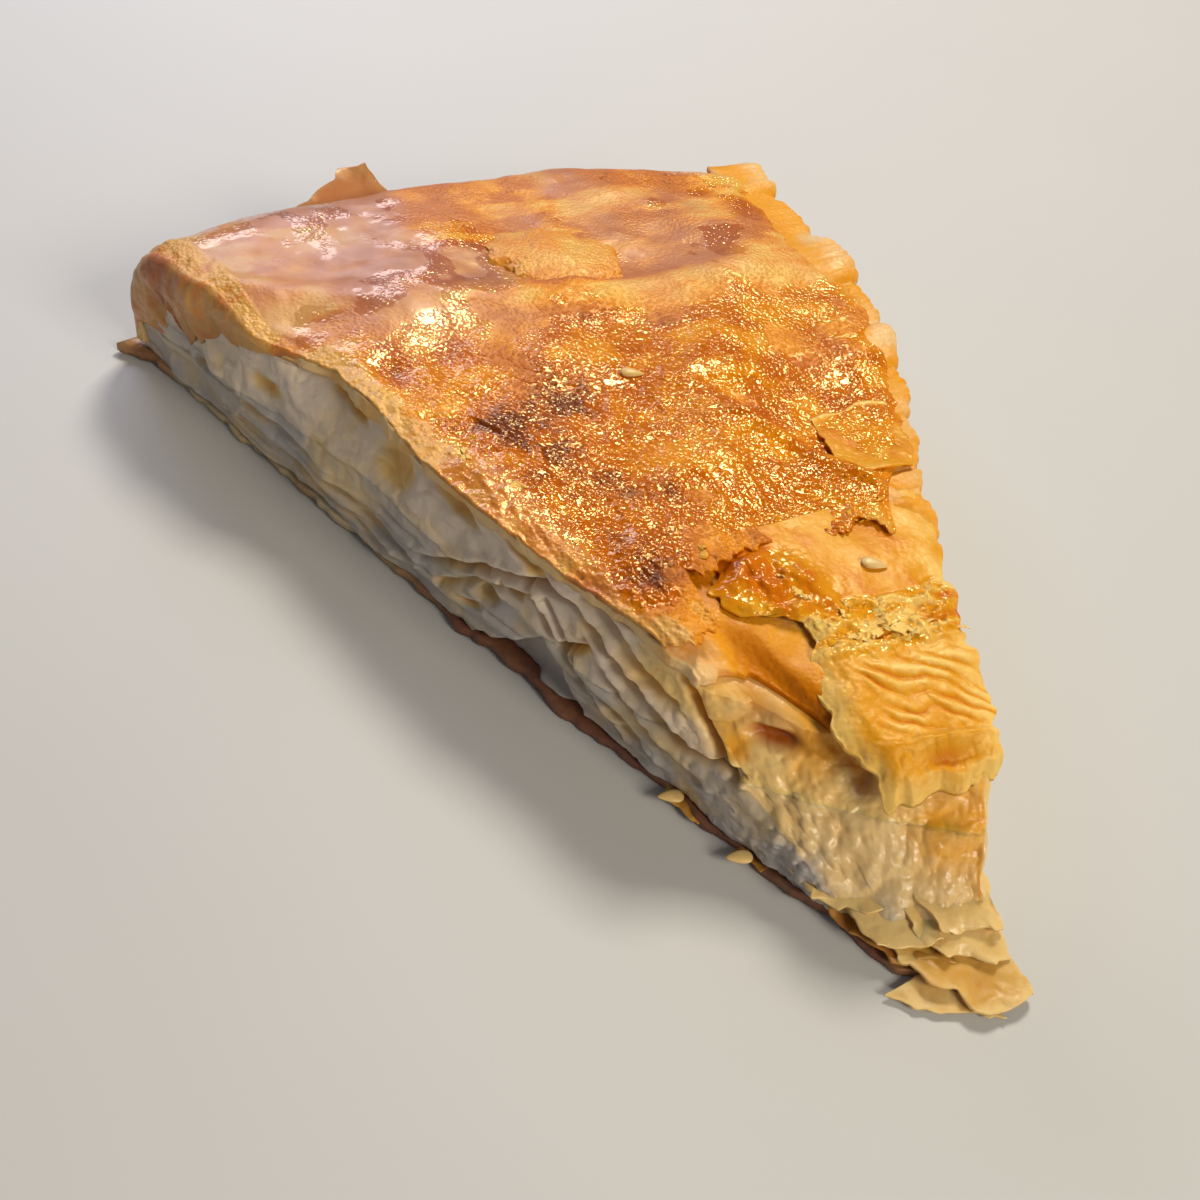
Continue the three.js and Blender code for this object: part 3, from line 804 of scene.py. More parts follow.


# Relief of the sides with their folds, holes and spots, and the tints that go with it, shade painted into
# folds, holes, cavities and the hollow, for both layers alike
def cutRelief(base):
    x, y, z, radius, across = (base[k] for k in ("x", "y", "z", "radius", "across"))
    left = (across < -0.85).astype(float)
    torn = ease(1.0, 0.9, np.abs(across)) * base["seen"]
    curdy = np.maximum(torn, 0.8 * ease(74, 46, radius) * left)
    out, depth, warm, floorOfHollow = crumbRelief(base, torn, curdy)
    brown = np.zeros(x.shape)
    # each fold: a groove painted browner and in shade, with a lip above it painted lit
    for fold in leftCut["folds"]:
        d, above = lineDistance(radius, z + 0.35 * noise(radius / 3, z, 0, 53), fold["line"])
        groove = bell(d, fold["width"]) * left
        lip = bell(d - 1.2, 1.0) * (above > 0) * left
        out = out - leftCut["foldDepth"] * fold["depth"] * groove + fold["lip"] * lip
        depth = depth - 0.45 * groove + 0.12 * lip
        brown = brown + 0.2 * groove * fold["depth"]
    # each hole: cut in, and painted warmer and browner as shade in it
    for r, h, wide, tall, slope, deep, tan in leftCut["holes"]:
        along = radius - r
        up = z - h + slope * along + 0.3 * noise(radius / 2, z / 2, 0, 54)
        hole = np.exp(-((along / wide) ** 2 + (up / tall) ** 2) ** 1.6) * left
        out = out - deep * hole
        depth = depth - 0.3 * hole
        warm = warm + 0.6 * hole
        brown = brown + tan * hole
    # the hollow above the bottom crust: flattened and painted browner as shade; the torn front is browner
    # where baked near its top
    inside = triangleInside(radius, z + 0.8 * wobble(radius, 3, 55), leftCut["hollow"])
    hollow = ease(-0.3, 1.2, inside) * left
    out = mix(out, floorOfHollow, hollow)
    brown = brown + 0.2 * hollow + 0.5 * torn * ease(14, 19, z) * patch(x, y, tornFront["baked"], 7)
    # cavities in the torn front: cut in and painted brown as shade in them
    for cx, cy, cz, wide, tall, deep, tan in tornFront["cavities"]:
        hole = np.exp(-((np.hypot(x - cx, y - cy) / wide) ** 2 + ((z - cz) / tall) ** 2) ** 1.6)
        out = out - deep * hole
        brown = brown + tan * hole
    for cx, cy, cz, wide in tornFront["yellow"]:
        warm = warm + 0.7 * np.exp(-((x - cx) ** 2 + (y - cy) ** 2 + (z - cz) ** 2) / wide ** 2)
    for cx, cy, cz, wide in tornFront["white"]:
        spot = np.exp(-((x - cx) ** 2 + (y - cy) ** 2 + (z - cz) ** 2) / wide ** 2)
        warm = warm - 0.2 * spot
        out = out + spot * (0.5 + np.abs(noise(x / 1.4, y / 1.4, z / 1.2, 56)))
    # painted shade: cooler low on the left cut near the tip
    warm = warm - 0.2 * ease(9, 4, z) * left * ease(62, 50, radius)
    out = out - left * crumbledBack(radius) * ease(13, 24, z)
    values = {key: np.clip(v, 0, 1) for key, v in (("depth", depth), ("warm", warm), ("brown", brown))}
    return out * base["seen"], values


# Moves the ribbon out along its own normals; the level that meets a crust only goes sideways
def fillingPart(floorAt, ceilingAt, crustBelow):
    base = ribbonBase(floorAt, ceilingAt)
    out, values = cutRelief(base)
    spots = np.stack([base["x"], base["y"], base["z"]], -1)
    along = np.roll(spots, -1, 1) - np.roll(spots, 1, 1)
    normal = np.cross(along, np.gradient(spots, axis=0))
    normal[..., 2] *= ease(0, 0.12, base["v"] if crustBelow else 1 - base["v"])
    normal /= np.linalg.norm(normal, axis=-1, keepdims=True) + 1e-9
    return loft(spots + normal * (out - form["cutInset"])[..., None], values)


def curdFloor(x, y):
    return seamSurface(x, y) - form["seamOverlap"]


# Underside of the top crust over the curd; in front of the golden sheets it rises under the wrinkled flap
def curdCeiling(x, y):
    across = np.clip(x / cutX(x, y), -1, 1)
    edge = np.hypot(x, y) - frontEdge(across)
    rise = ribbon["underFlap"] * ease(-0.45, -0.2, across) * ease(1, -4, edge)
    droop = sheets["droopBelow"] * frontDroop(across, edge)
    return ceilingHeight(x, y) - form["ceilingGap"] - droop + rise


def pastryFloor(x, y):
    return form["bottomThickness"] - form["bottomOverlap"] + 0 * x


def pastryCeiling(x, y):
    return seamSurface(x, y) + form["seamOverlap"]


# Top crust: a stack of golden sheets that wraps over the rim, and the browned skin on it

# Corner positions and outward directions of a crust sheet, depth mm under the smooth top
def crustFrame(across, along, start, topShare, rollShare, depth):
    share = np.clip(along / topShare, 0, 1)
    flat = mix(start, rollStart, share)
    turn = (np.pi / 2) * np.clip((along - topShare) / rollShare, 0, 1)
    down = np.clip((along - topShare - rollShare) / (1 - topShare - rollShare), 0, 1)
    radius = flat + (form["rollWidth"] - depth) * np.sin(turn)
    x, y = planAt(across, radius)
    flatX, flatY = planAt(across, flat)
    rise = form["shoulderHeight"] - depth - form["rollCentre"]
    rolled = mix(form["rollCentre"] + rise * np.cos(turn), form["bottomThickness"] + 0.5, down)
    z = np.where(along <= topShare, domeHeight(flatX, flatY) - depth, rolled)
    reach = np.hypot(x, y) + 1e-9
    return dict(x=x, y=y, z=z, flatX=flatX, flatY=flatY, radius=radius, turn=turn,
                nx=np.sin(turn) * x / reach, ny=np.sin(turn) * y / reach, nz=np.cos(turn))


def moved(base, out):
    return np.stack([base[k] + base["n" + k] * out for k in ("x", "y", "z")], -1)


skin = dict(
    rows=318, columns=250, wrap=40, thickness=0.9, topShare=0.78, rollShare=0.15, bulb=2.2, hang=13.0,
    frontShare=21 / 28.4, insets=(1.6, 4.4),    # share of the right cut covered at the front, then its insets
    lumps=0.45, wrinkles=0.45, crumbs=0.3, crumples=1.1, leftDroop=0.7, rightDroop=0.5,
    crackDepth=0.25, crackLip=0.4, notchDepth=0.7, blistered=0.47, browning=0.5, levelling=0.22,
    acrossMarks=[-1, -0.8, -0.66, -0.58, -0.5, 0, 1], startMarks=[49, 48, 50.5, 56, 60.5, 60, 61],
    crack=[(-28.5, 95.0), (-27.2, 92.5), (-24.8, 89.5), (-24.2, 86.5)],
    notch=(-34.8, 109.5), scorch=(-20.0, 57.5),
    # patches as x, y, stretch along y, width, amount
    blisterSpots=[(-33, 137, 1.0, 11, 0.45), (-3, 86, 1.0, 10, 0.2)],
    brownSpots=[(-16, 96, 1.4, 10, 0.34), (-23, 89, 1.0, 6, 0.14), (-3, 86, 1.0, 10, -0.2),
                (-15, 140, 1.0, 8, 0.16), (20, 128, 1.0, 8, 0.16), (19, 63, 1.0, 4, 0.22)])


# Where the skin is crumbly, blistered, glazed, scorched or notched, and how far the fold and the crack are
def skinMasks(here, fx, fy, edges):
    bandWidth = mix(3.0, 8.5, bell(fy - 80, 16)) + 3 * ease(125, 150, fy)
    band = ease(bandWidth, 0.5 * bandWidth, edges["left"] + 1.6 * speckle((fx, fy, 0), 3, 79))
    fold = fy - foldLine(fx)
    # blistered also sets where blister tops are painted pale, partly as painted glints
    blistered = (skin["blistered"] + 1.0 * clouds(here, 14, 82, 2) + 0.8 * clouds(here, 5, 80, 3)
                 + 0.35 * bell(fy - 76, 20) - 0.5 * ease(102, 122, fy) - 0.45 * bell(fold, 4.0)
                 - 0.3 * ease(5, 25, fx) * bell(fy - 95, 14) + patches(fx, fy, skin["blisterSpots"]))
    sheen = 0.3 + 0.9 * clouds(here, 13, 90, 2) + 0.6 * ease(10, -45, fx) - 0.15 * ease(0, 20, fx)
    glazed = ease(106, 126, fy) * np.clip(sheen, 0, 1)
    crack, _ = lineDistance(fx, fy, skin["crack"])
    return dict(band=band, fold=fold, crack=crack, blistered=np.clip(blistered, 0.03, 1) * (1 - 0.85 * band),
                glazed=np.maximum(glazed * (1 - 0.6 * band), 0.45 * band),
                notch=patch(fx, fy, skin["notch"], 2.6, 0.7), scorch=patch(fx, fy, skin["scorch"], 5, 0.8))


def skinRelief(here, fx, fy, turn, u, edges, masks):
    # broad swells, then blisters of two sizes, wrinkles, the crumbly left edge and the crumpled front
    x, y, z = here
    out = topSwell(fx, fy) * np.cos(turn) + skin["lumps"] * clouds(here, 7, 81, 3)
    large, ownLarge = cells(x / 1.5, y / 1.5, z / 1.5, 83)
    small, ownSmall = cells(x / 0.9, y / 0.9, z / 0.9, 84)
    large = np.clip(1 - (large / (0.28 + 0.34 * ownLarge)) ** 2, 0, 1)
    small = np.clip(1 - (small / (0.3 + 0.3 * ownSmall)) ** 2, 0, 1)
    out = out + masks["blistered"] * (0.1 * large * ownLarge + 0.03 * small + 0.1 * clouds(here, 2.6, 98, 2))
    wrinkles = 1 - 2 * np.abs(noise(x / 5, y / 9, z / 9, 97))
    out = out + skin["wrinkles"] * np.clip(wrinkles - 0.55, 0, 1) * ease(108, 92, fy)
    crumbs = skin["crumbs"] * np.abs(speckle(here, 1.7, 85)) + 0.16 * speckle(here, 0.7, 88)
    out = out + masks["band"] * crumbs
    crumpled = np.maximum(0.8 * masks["scorch"], 0.4 * bell(edges["front"], 4))
    crumples = skin["crumples"] * np.abs(speckle(here, 2.4, 94)) + 0.35 * speckle(here, 0.9, 96)
    out = out + crumpled * crumples
    # the crack with one side raised, the notch on the left, the curled front, drooping sides
    raised = ease(-0.4, 0.6, fx + 26.2 - 0.4 * (90 - fy))
    out = out - skin["crackDepth"] * bell(masks["crack"], 0.4)
    out = out + skin["crackLip"] * bell(masks["crack"], 1.8) * raised - skin["notchDepth"] * masks["notch"]
    curl = bell(edges["front"], 2.4) * (0.05 + 0.35 * noise(u * 14, 0, 0, 76))
    out = out + curl - skin["leftDroop"] * bell(edges["left"], 2.0)
    return out - skin["rightDroop"] * bell(edges["right"], 1.5)


# How far each spot of the skin is baked; paler along the fold as a painted highlight on its ridge; behind the
# fold it has streaks, and the brown levels off sooner
def skinBrowning(here, fx, fy, edges, masks):
    z = here[2]
    streaks = 0.9 * fbm(fx / 16, fy / 4, z / 6, 89, 3) + 0.4 * fbm(fx / 5, fy / 3, z / 4, 109, 3)
    browning = (skin["browning"] + 0.34 * clouds((fx, fy, z), 22, 86, 3) + 0.32 * clouds(here, 5, 87, 3)
                + patches(fx, fy, skin["brownSpots"]) + 0.7 * masks["notch"] + 0.22 * masks["scorch"] ** 2
                + 0.08 * bell(fy - 68, 12) - 0.28 * bell(masks["fold"], 4.5) - 0.3 * masks["band"]
                + 0.16 * bell(masks["crack"], 0.6) - 0.14 * ease(8, 0, edges["right"]) * ease(150, 140, fy)
                + ease(112, 128, fy) * (streaks + 0.2 - 0.2 * ease(-10, -45, fx)))
    knee = mix(0.85, 0.5, ease(108, 118, fy))
    soft = skin["levelling"]
    browning = np.where(browning > knee, knee + soft * np.tanh((browning - knee) / soft), browning)
    return np.clip(browning, 0, 1)


# The left edge turns down; towards the rim it hangs further down the cut and closes the end of the roll
def hungEdge(base, top, under, values):
    reach = base["radius"][:, :1]
    hang = ease(122, rollStart + 4, reach) * (1 - 0.92 * ease(0.72, 1.0, base["turn"][:, :1] / (np.pi / 2)))
    s = np.linspace(1, 0, skin["wrap"] + 1)[None, :-1]
    torn = 1 + hang * (0.25 * wobble(reach, 4, 101) + 0.12 * wobble(reach, 1.3, 102))
    down = mix(0.7, skin["hang"], hang) * torn * s ** 1.2
    sideways = mix(0.25, skin["bulb"], hang) * np.sin(np.pi * s ** 0.7) - 0.7 * hang * s ** 2
    slope = math.atan(form["leftSpread"])
    normal = np.stack([base[k][:, :1] + 0 * s for k in ("nx", "ny", "nz")], -1)
    aside = np.array([-math.cos(slope), -math.sin(slope), 0.0])
    edge = top[:, :1] + aside * sideways[..., None] - normal * down[..., None]
    facing = mix(normal, aside, ease(0, 0.3, s)[..., None])
    facing = facing / np.linalg.norm(facing, axis=-1, keepdims=True)
    here = (edge[..., 0], edge[..., 1], edge[..., 2])
    crumbs = 0.7 * clouds(here, 4, 99, 3) + 0.5 * np.abs(speckle(here, 1.4, 106))
    edge = edge + facing * (hang * np.sin(np.pi * s) * crumbs)[..., None]
    wrap = slice(0, skin["wrap"])
    values = {k: np.concatenate([v[:, :1] + 0 * s, v], 1) for k, v in values.items()}
    values["browning"][:, wrap] += hang * (0.6 * clouds(here, 3, 100, 3) + 0.12)
    values["blistered"][:, wrap] *= 1 - hang
    values["glazed"][:, wrap] = mix(values["glazed"][:, wrap], 0.9, hang)
    values = {k: np.clip(v, 0, 1) for k, v in values.items()}
    return np.concatenate([edge, top], 1), np.concatenate([edge - 0.6 * facing, under], 1), values


def skinPart():
    u = np.linspace(0, 1, skin["columns"])[None, :]
    along = np.linspace(0, 1, skin["rows"])[:, None]
    ragged = 2.4 * noise(u * 9, 0, 0, 71) + 1.2 * noise(u * 31, 0, 0, 72) + 0.5 * noise(u * 83, 0, 0, 73)
    start = np.interp(2 * u - 1, skin["acrossMarks"], skin["startMarks"]) + ragged
    flat = along <= skin["topShare"]
    radius = mix(start, rollStart, np.clip(along / skin["topShare"], 0, 1))
    # the right edge stays inside the lobes, and further in by the smooth sheet at the front
    cut = rightCutX(radius)
    inset = mix(*skin["insets"], ease(112, 124, radius))
    inset = inset + 1.6 * wobble(radius, 6, 74) + 0.5 * wobble(radius, 1.8, 75)
    rightMost = mix(skin["frontShare"], 1 - inset / cut, ease(60, 84, radius))
    back = crumbledBack(radius) * flat
    across = mix(-1 + back / leftCutX(radius), rightMost, u)
    base = crustFrame(across, along + 0 * u, start + 0 * along, skin["topShare"], skin["rollShare"], 0.0)
    here = (base["x"], base["y"], base["z"])
    fx, fy = base["flatX"], base["flatY"]
    edges = dict(front=np.where(flat, base["radius"] - start, 99), left=fx + leftCutX(fy) - back,
                 right=(rightMost - across) * cut)
    masks = skinMasks(here, fx, fy, edges)
    out = skinRelief(here, fx, fy, base["turn"], u, edges, masks)
    values = dict(browning=skinBrowning(here, fx, fy, edges, masks), blistered=masks["blistered"],
                  glazed=masks["glazed"])
    base["x"] = base["x"] + bell(edges["left"], 1.5) * (0.6 * wobble(fy, 5, 77) + 0.15 * wobble(fy, 1.2, 78))
    inward = np.minimum(np.minimum(edges["front"], edges["right"]), 1.5)
    thin = skin["thickness"] * np.clip(0.35 + inward / 2.2, 0.3, 1)
    top, under, values = hungEdge(base, moved(base, out), moved(base, out - thin), values)
    return slab(top, under, values, levels=2, step=8)


def sheetsPart():
    u = np.linspace(0, 1, sheets["columns"])[None, :]
    along = np.linspace(0, 1, sheets["rows"])[:, None]
    plain = mix(-1, 1, u) + 0 * along
    start = frontEdge(plain) + 0.8 * noise(plain * 9, 0, 0, 91) + 0.4 * noise(plain * 27, 0, 0, 92)
    flat = along <= sheets["topShare"]
    radius = mix(start, rollStart, np.clip(along / sheets["topShare"], 0, 1))
    back = 0.9 * crumbledBack(radius) * flat
    across = mix(-1 + back / leftCutX(radius), 1, u)
    base = crustFrame(across, along + 0 * u, start, sheets["topShare"], sheets["rollShare"], sheets["depth"])
    fx, fy = base["flatX"], base["flatY"]
    here = (fx, fy, 0)
    edge = np.where(flat, base["radius"] - start, 99)
    crumbly = ease(-0.5, -0.65, across) * bell(edge, 7)
    droop = frontDroop(across, edge)
    out = topSwell(fx, fy) * np.cos(base["turn"])
    out = out + sheets["lumps"] * clouds(here, 8, 93, 3) * ease(70, 55, fy) - frontStep(fy) - droop
    crumbs = sheets["crumbs"] * np.abs(speckle(here, 1.8, 107)) + 0.2 * speckle(here, 0.8, 108)
    out = out + crumbly * crumbs
    nearLeft = bell(fx + leftCutX(fy) - back, 1.0)
    base["x"] = base["x"] + nearLeft * (0.3 + 0.5 * wobble(fy, 3, 103) + 0.3 * wobble(fy, 1.1, 104))
    top = moved(base, out)
    under = moved(base, out * 0.3 - sheets["thickness"])
    floorZ = domeHeight(fx, fy) - form["topThickness"] - sheets["droopBelow"] * droop
    under[..., 2] = np.where(flat, np.minimum(floorZ, top[..., 2] - 0.5), under[..., 2])
    # browner in the pocket beside the flap, partly its own oily colour, partly a painted glow of light
    # through the thin sheet; browner beside the hood as painted shade; paler along the torn left edge
    pocket = bell(across + 0.46, 0.24) * bell(edge, 18) - 0.25 * ease(-0.62, -0.75, across) * bell(edge, 7)
    browning = (sheets["browning"] - 0.18 * nearLeft * (1 + wobble(fy, 4, 105))
                + sheets["pocketBrowningAndGlow"] * pocket + 0.14 * clouds(here, 7, 95, 3)
                + 0.2 * patch(fx, fy, (-9, 58), 7))
    return slab(top, under, dict(browning=np.clip(browning, 0, 1)), levels=4, step=6)


# A thin wavy scrap of sheet over four corners, given as (x, y, z) round it; rounded takes its corners off
def scrap(corners, cellsAcross, cellsAlong, thickness, seed, ragged=0.8, wave=0.4, browning=0.25,
          blistered=0.0, shape=None, rounded=0.0, tear=3.6):
    u = np.linspace(0, 1, cellsAcross + 1)[None, :]
    v = np.linspace(0, 1, cellsAlong + 1)[:, None]
    edge = np.minimum(np.minimum(u, 1 - u), np.minimum(v, 1 - v)) * 2
    p, q = 2 * u - 1, 2 * v - 1
    du = (mix(p, p * np.sqrt(1 - q * q / 2), rounded) / 2 + 0.5)[..., None]
    dv = (mix(q, q * np.sqrt(1 - p * p / 2), rounded) / 2 + 0.5)[..., None]
    a, b, c, d = [np.array(k, float) for k in corners]
    flat = a * (1 - du) * (1 - dv) + b * du * (1 - dv) + c * du * dv + d * (1 - du) * dv
    x, y, z = flat[..., 0], flat[..., 1], flat[..., 2]
    near = (1 - np.clip(edge, 0, 1)) ** 2
    fine = tear * 0.36
    sideX = noise(x / tear, y / tear, 0, seed) + 0.45 * noise(x / fine, y / fine, 0, seed + 1)
    sideY = noise(x / tear, y / tear, 9, seed + 2) + 0.45 * noise(x / fine, y / fine, 9, seed + 3)
    z = z + wave * clouds((x, y, 0), 5, seed + 6, 3)
    tint = browning + 0.15 * clouds((x, y, 0), 4, seed + 7, 3) - 0.14 * near ** 2
    if shape is not None:
        rise, darker = shape(u, v, x, y)
        z = z + rise
        tint = tint + darker
    x = x + ragged * near * sideX
    y = y + ragged * near * sideY
    thin = thickness * (0.4 + 0.6 * np.clip(edge * 3, 0, 1))
    values = dict(browning=np.clip(tint, 0, 1) + 0 * x, blistered=blistered + 0 * x)
    return slab(np.stack([x, y, z], -1), np.stack([x, y, z - thin], -1), values, step=2)


# Puffed lobes along the right edge, as (y, reach past the cut): tips and notches by turns, from the rim on
lobes = dict(
    rows=420, columns=18, inner=9.0, lip=1.3, lipTurn=100, wall=3.2, thickness=0.9, browning=0.36,
    scallops=[(156, -3.0), (150, 2.6), (144, 0.4), (136, 2.6), (128, 1.2), (119, 3.4), (112, 0.9), (106, 1.7),
              (100, 0.2), (94.5, 2.2), (90, 0.8), (82.6, 2.0), (79.4, 0.1), (73.4, 1.5), (68.3, -0.8),
              (65.9, 1.1), (63.5, -0.4), (57, 2.2), (51.5, -1.2), (47.5, 0.4), (44.5, -1.6), (41.5, 0.2),
              (38, -2.0)])


# How far the lobed edge stands out past the right cut: round lobes with sharp notches between them
def lobeReach(y):
    marks = lobes["scallops"][::-1]
    reach = np.zeros(y.shape)
    for (y0, r0), (y1, r1) in zip(marks[:-1], marks[1:]):
        low, high = min(r0, r1), max(r0, r1)
        t = np.clip((y - y0) / (y1 - y0), 0, 1)
        t = t if r1 > r0 else 1 - t
        here = (y >= y0) & (y <= y1)
        reach = np.where(here, low + (high - low) * np.sqrt(1 - (1 - t) ** 2), reach)
    return reach


def lobesPart():
    ys = [spot for spot, _ in lobes["scallops"]]
    y = np.linspace(min(ys), max(ys), lobes["rows"])[:, None]
    s = np.linspace(0, 1, lobes["columns"])[None, :]
    reach = lobeReach(y) + 0.4 * wobble(y, 1.6, 211) + 0.25 * wobble(y, 0.7, 214)
    turn = np.radians(lobes["lipTurn"]) * np.clip((s - 0.5) / 0.3, 0, 1)
    down = lobes["wall"] * np.clip((s - 0.8) / 0.2, 0, 1)
    flat = mix(-lobes["inner"], reach - lobes["lip"], np.clip(s / 0.5, 0, 1))
    puff = 0.8 * bell(s - 0.45, 0.25) * (reach - 0.6) + 0.3 * noise(y / 3, s * 3, 0, 212)
    plain = rightCutX(y) + flat
    x = plain + lobes["lip"] * np.sin(turn) - 0.5 * down
    z = domeHeight(plain, y) + 0.9 * topSwell(plain, y) - 0.9 + 0.5 * puff - frontStep(y)
    z = z - lobes["lip"] * (1 - np.cos(turn)) - down
    tint = lobes["browning"] - 0.05 * reach + 0.12 * noise(y / 6, s * 2, 0, 213) + 0.15 * bell(s - 0.2, 0.15)
    top = np.stack([x, y + 0 * s, z], -1)
    inward = lobes["thickness"] * np.stack([np.sin(turn), 0 * turn, np.cos(turn)], -1)
    values = dict(browning=np.clip(tint, 0, 1)[::-1], blistered=0 * tint)
    return slab(top[::-1], (top - inward)[::-1], values, step=2)


# Sheet ends under the lobes on the right: long shingled strips with torn edges and a spike each
edgeStrips = dict(
    columns=430, rows=9, start=25.0, end=152.0, inner=-7.0, thickness=0.5, rough=0.9, spikeWidth=1.3,
    strips=[dict(depth=2.2, reach=-0.2, browning=0.2, seed=200, spike=(56.0, 2.4)),
            dict(depth=3.0, reach=0.3, browning=0.14, seed=213, spike=(147.0, 2.0))])


def edgeStripPart(k, strip):
    seed = strip["seed"]
    y = np.linspace(edgeStrips["start"], edgeStrips["end"], edgeStrips["columns"])[None, :]
    t = np.linspace(0, 1, edgeStrips["rows"])[:, None]
    torn = 1.1 * wobble(y, 5.5, seed) + 0.7 * wobble(y, 2.1, seed + 1) + 0.3 * wobble(y, 0.9, seed + 2)
    outer = strip["reach"] + edgeStrips["rough"] * torn
    spot, size = strip["spike"]
    outer = outer + size * bell(y - spot - noise(seed, k, 0, 3), edgeStrips["spikeWidth"]) * 0.8
    outer = mix(outer, -5.0, ease(edgeStrips["end"] - 7, edgeStrips["end"], y))
    x = rightCutX(y) + mix(edgeStrips["inner"], outer, t)
    flutter = t ** 1.5 * (0.5 * wobble(y, 6, seed + 4) + 0.35 * wobble(y, 2.4, seed + 5))
    z = domeHeight(x, y) + 0.8 * topSwell(x, y) - strip["depth"] + flutter
    z = z - 0.5 * t ** 3 - 0.8 * ease(60, 50, y)
    thin = edgeStrips["thickness"] * (1 - 0.65 * t ** 3)
    tint = (strip["browning"] + 0.12 * noise(y / 7, t, 0, seed + 6) + 0.08 * noise(y / 2, 3 * t, 0, seed + 7)
            - 0.1 * t ** 6)
    top = np.stack([x, y + 0 * t, z], -1)
    under = np.stack([x, y + 0 * t, z - thin], -1)
    values = dict(browning=np.clip(tint, 0, 1)[::-1], blistered=0 * tint)
    return slab(top[::-1], under[::-1], values, step=2)


# Small flakes, each a bent scrap on the sheet under it: where they lie, how many, how big, how far turned
flakes = dict(
    seed=29,
    regions=[
        dict(spot=(7.0, 42.0), half=(9.5, 2.6), turn=-12, count=22, size=(1.4, 3.8), browning=(0.0, 0.25),
             lift=(0.2, 0.7), thickness=0.22, spread=0.5),
        dict(spot=(-1.5, 49.6), half=(5.5, 1.2), turn=-52, count=14, size=(1.0, 2.4), browning=(0.0, 0.25),
             lift=(0.8, 1.3), thickness=0.22, spread=0.9),
        dict(spot=(2.0, 60.5), half=(16.0, 1.5), turn=0, count=10, size=(0.9, 2.2), browning=(0.3, 0.6),
             lift=(0.1, 0.5), thickness=0.25, spread=3.1),
        dict(spot=(-29.0, 82.0), half=(3.0, 15.0), turn=20, count=16, size=(0.7, 1.6), browning=(0.1, 0.3),
             lift=(0.0, 0.2), thickness=0.25, spread=3.1)])


# Shape of a scrap that is bent along its length by so many mm
def bentBy(bend):
    def bent(u, v, x, y):
        return bend * (u - 0.5) ** 2 * 4 + 0 * v, 0 * u + 0 * v

    return bent


def flakeParts():
    draw = np.random.default_rng(flakes["seed"])
    parts = []
    for region in flakes["regions"]:
        regionTurn = math.radians(region["turn"])
        c, s = math.cos(regionTurn), math.sin(regionTurn)
        for _ in range(region["count"]):
            a, b = draw.uniform(-1, 1, 2) * region["half"]
            x, y = region["spot"][0] + a * c - b * s, region["spot"][1] + a * s + b * c
            size = mix(*region["size"], draw.random() ** 1.6)
            wide = size * draw.uniform(0.35, 0.8)
            turn = regionTurn + draw.uniform(-1, 1) * region["spread"]
            ux, uy = math.cos(turn), math.sin(turn)
            leanLong, leanWide = draw.normal(0, 0.12, 2)
            z = topAt(x, y, draw.uniform(*region["lift"]))[2] - float(frontStep(y))
            corners = [(x + size / 2 * p * ux - wide / 2 * q * uy, y + size / 2 * p * uy + wide / 2 * q * ux,
                        z + size / 2 * (p * leanLong + q * leanWide))
                       for p, q in ((-1, -1), (1, -1), (1, 1), (-1, 1))]
            bend = draw.uniform(-0.1, 0.1) * size
            parts.append(scrap(corners, 12, 10, region["thickness"], 600 + 8 * len(parts), ragged=0.38 * size,
                               wave=0.1 * size, browning=draw.uniform(*region["browning"]), rounded=0.5,
                               tear=0.45 * size, shape=bentBy(bend)))
    return parts


# The torn sheets at the front in one piece: smooth sheet and curled hood behind, then the crinkled band,
# then the wrinkled flap; its left and right edge as (share, x, y) from back to front
front = dict(
    rows=220, columns=140, thickness=1.1, calming=11, browning=0.22,
    hoodHeight=1.0, rimHeight=0.6, crestHeight=0.5, crinkle=0.3, ridgeWidth=2.2, ridgeHeight=0.45,
    lobeHeight=1.0, lobeHollow=1.0, frontDrop=2.0,
    left=[(0, -10.5, 63.0), (0.1, -11.5, 57.0), (0.2, -11.3, 51.5), (0.29, -8.6, 47.6), (0.36, -4.6, 45.8),
          (0.43, -4.6, 43.5), (0.5, -5.9, 40.9), (0.62, -7.5, 36.0), (0.75, -8.5, 31.0), (0.87, -7.4, 26.3),
          (1, -6.6, 21.5)],
    right=[(0, 24.6, 63.5), (0.1, 23.8, 58.5), (0.2, 21.5, 53.0), (0.29, 18.8, 48.0), (0.36, 18.2, 45.0),
           (0.43, 17.6, 42.0), (0.5, 15.8, 38.0), (0.62, 13.4, 33.0), (0.75, 11.2, 27.5), (0.87, 9.4, 23.0),
           (1, 8.2, 19.4)],
    hoodRim=[(-9.8, 52.5), (-8.4, 55.8), (-5.6, 57.6), (-3.4, 57.2), (-1.9, 54.8), (-0.6, 51.5), (2.4, 46.2)],
    hood=(-5.6, 51.5), hoodShade=(-9, 58), burntCorner=(17.0, 41.5))


# The plan of the front sheets: both edges calmed, frayed, and further torn beside the hood
def frontPlan(t, u, edge):
    half = front["calming"] // 2
    sides = []
    for key in ("left", "right"):
        marks = np.array(front[key])
        for k in (1, 2):
            line = np.interp(t[:, 0], marks[:, 0], marks[:, k])
            line = np.pad(line, half, mode="reflect", reflect_type="odd")
            calm = np.convolve(line, np.ones(front["calming"]) / front["calming"], mode="valid")
            sides.append(calm[:, None])
    leftX, leftY, rightX, rightY = sides
    x, y = mix(leftX, rightX, u), mix(leftY, rightY, u)
    torn = ease(0.44, 0.3, t) * ease(0.03, 0.12, t) * (u < 0.5)
    frill = bell(edge, 1.6) * np.where(u < 0.5, -1, 1) * (1 + 1.1 * torn)
    x = x + frill * (1.0 * noise(y / 3.4, u > 0.5, 0, 301) + 0.35 * noise(y / 1.3, u > 0.5, 0, 302))
    y = y - bell((1 - t) * 40, 1.6) * (0.8 * wobble(x, 3, 303) + 0.4 * wobble(x, 1.1, 304))
    return x, y


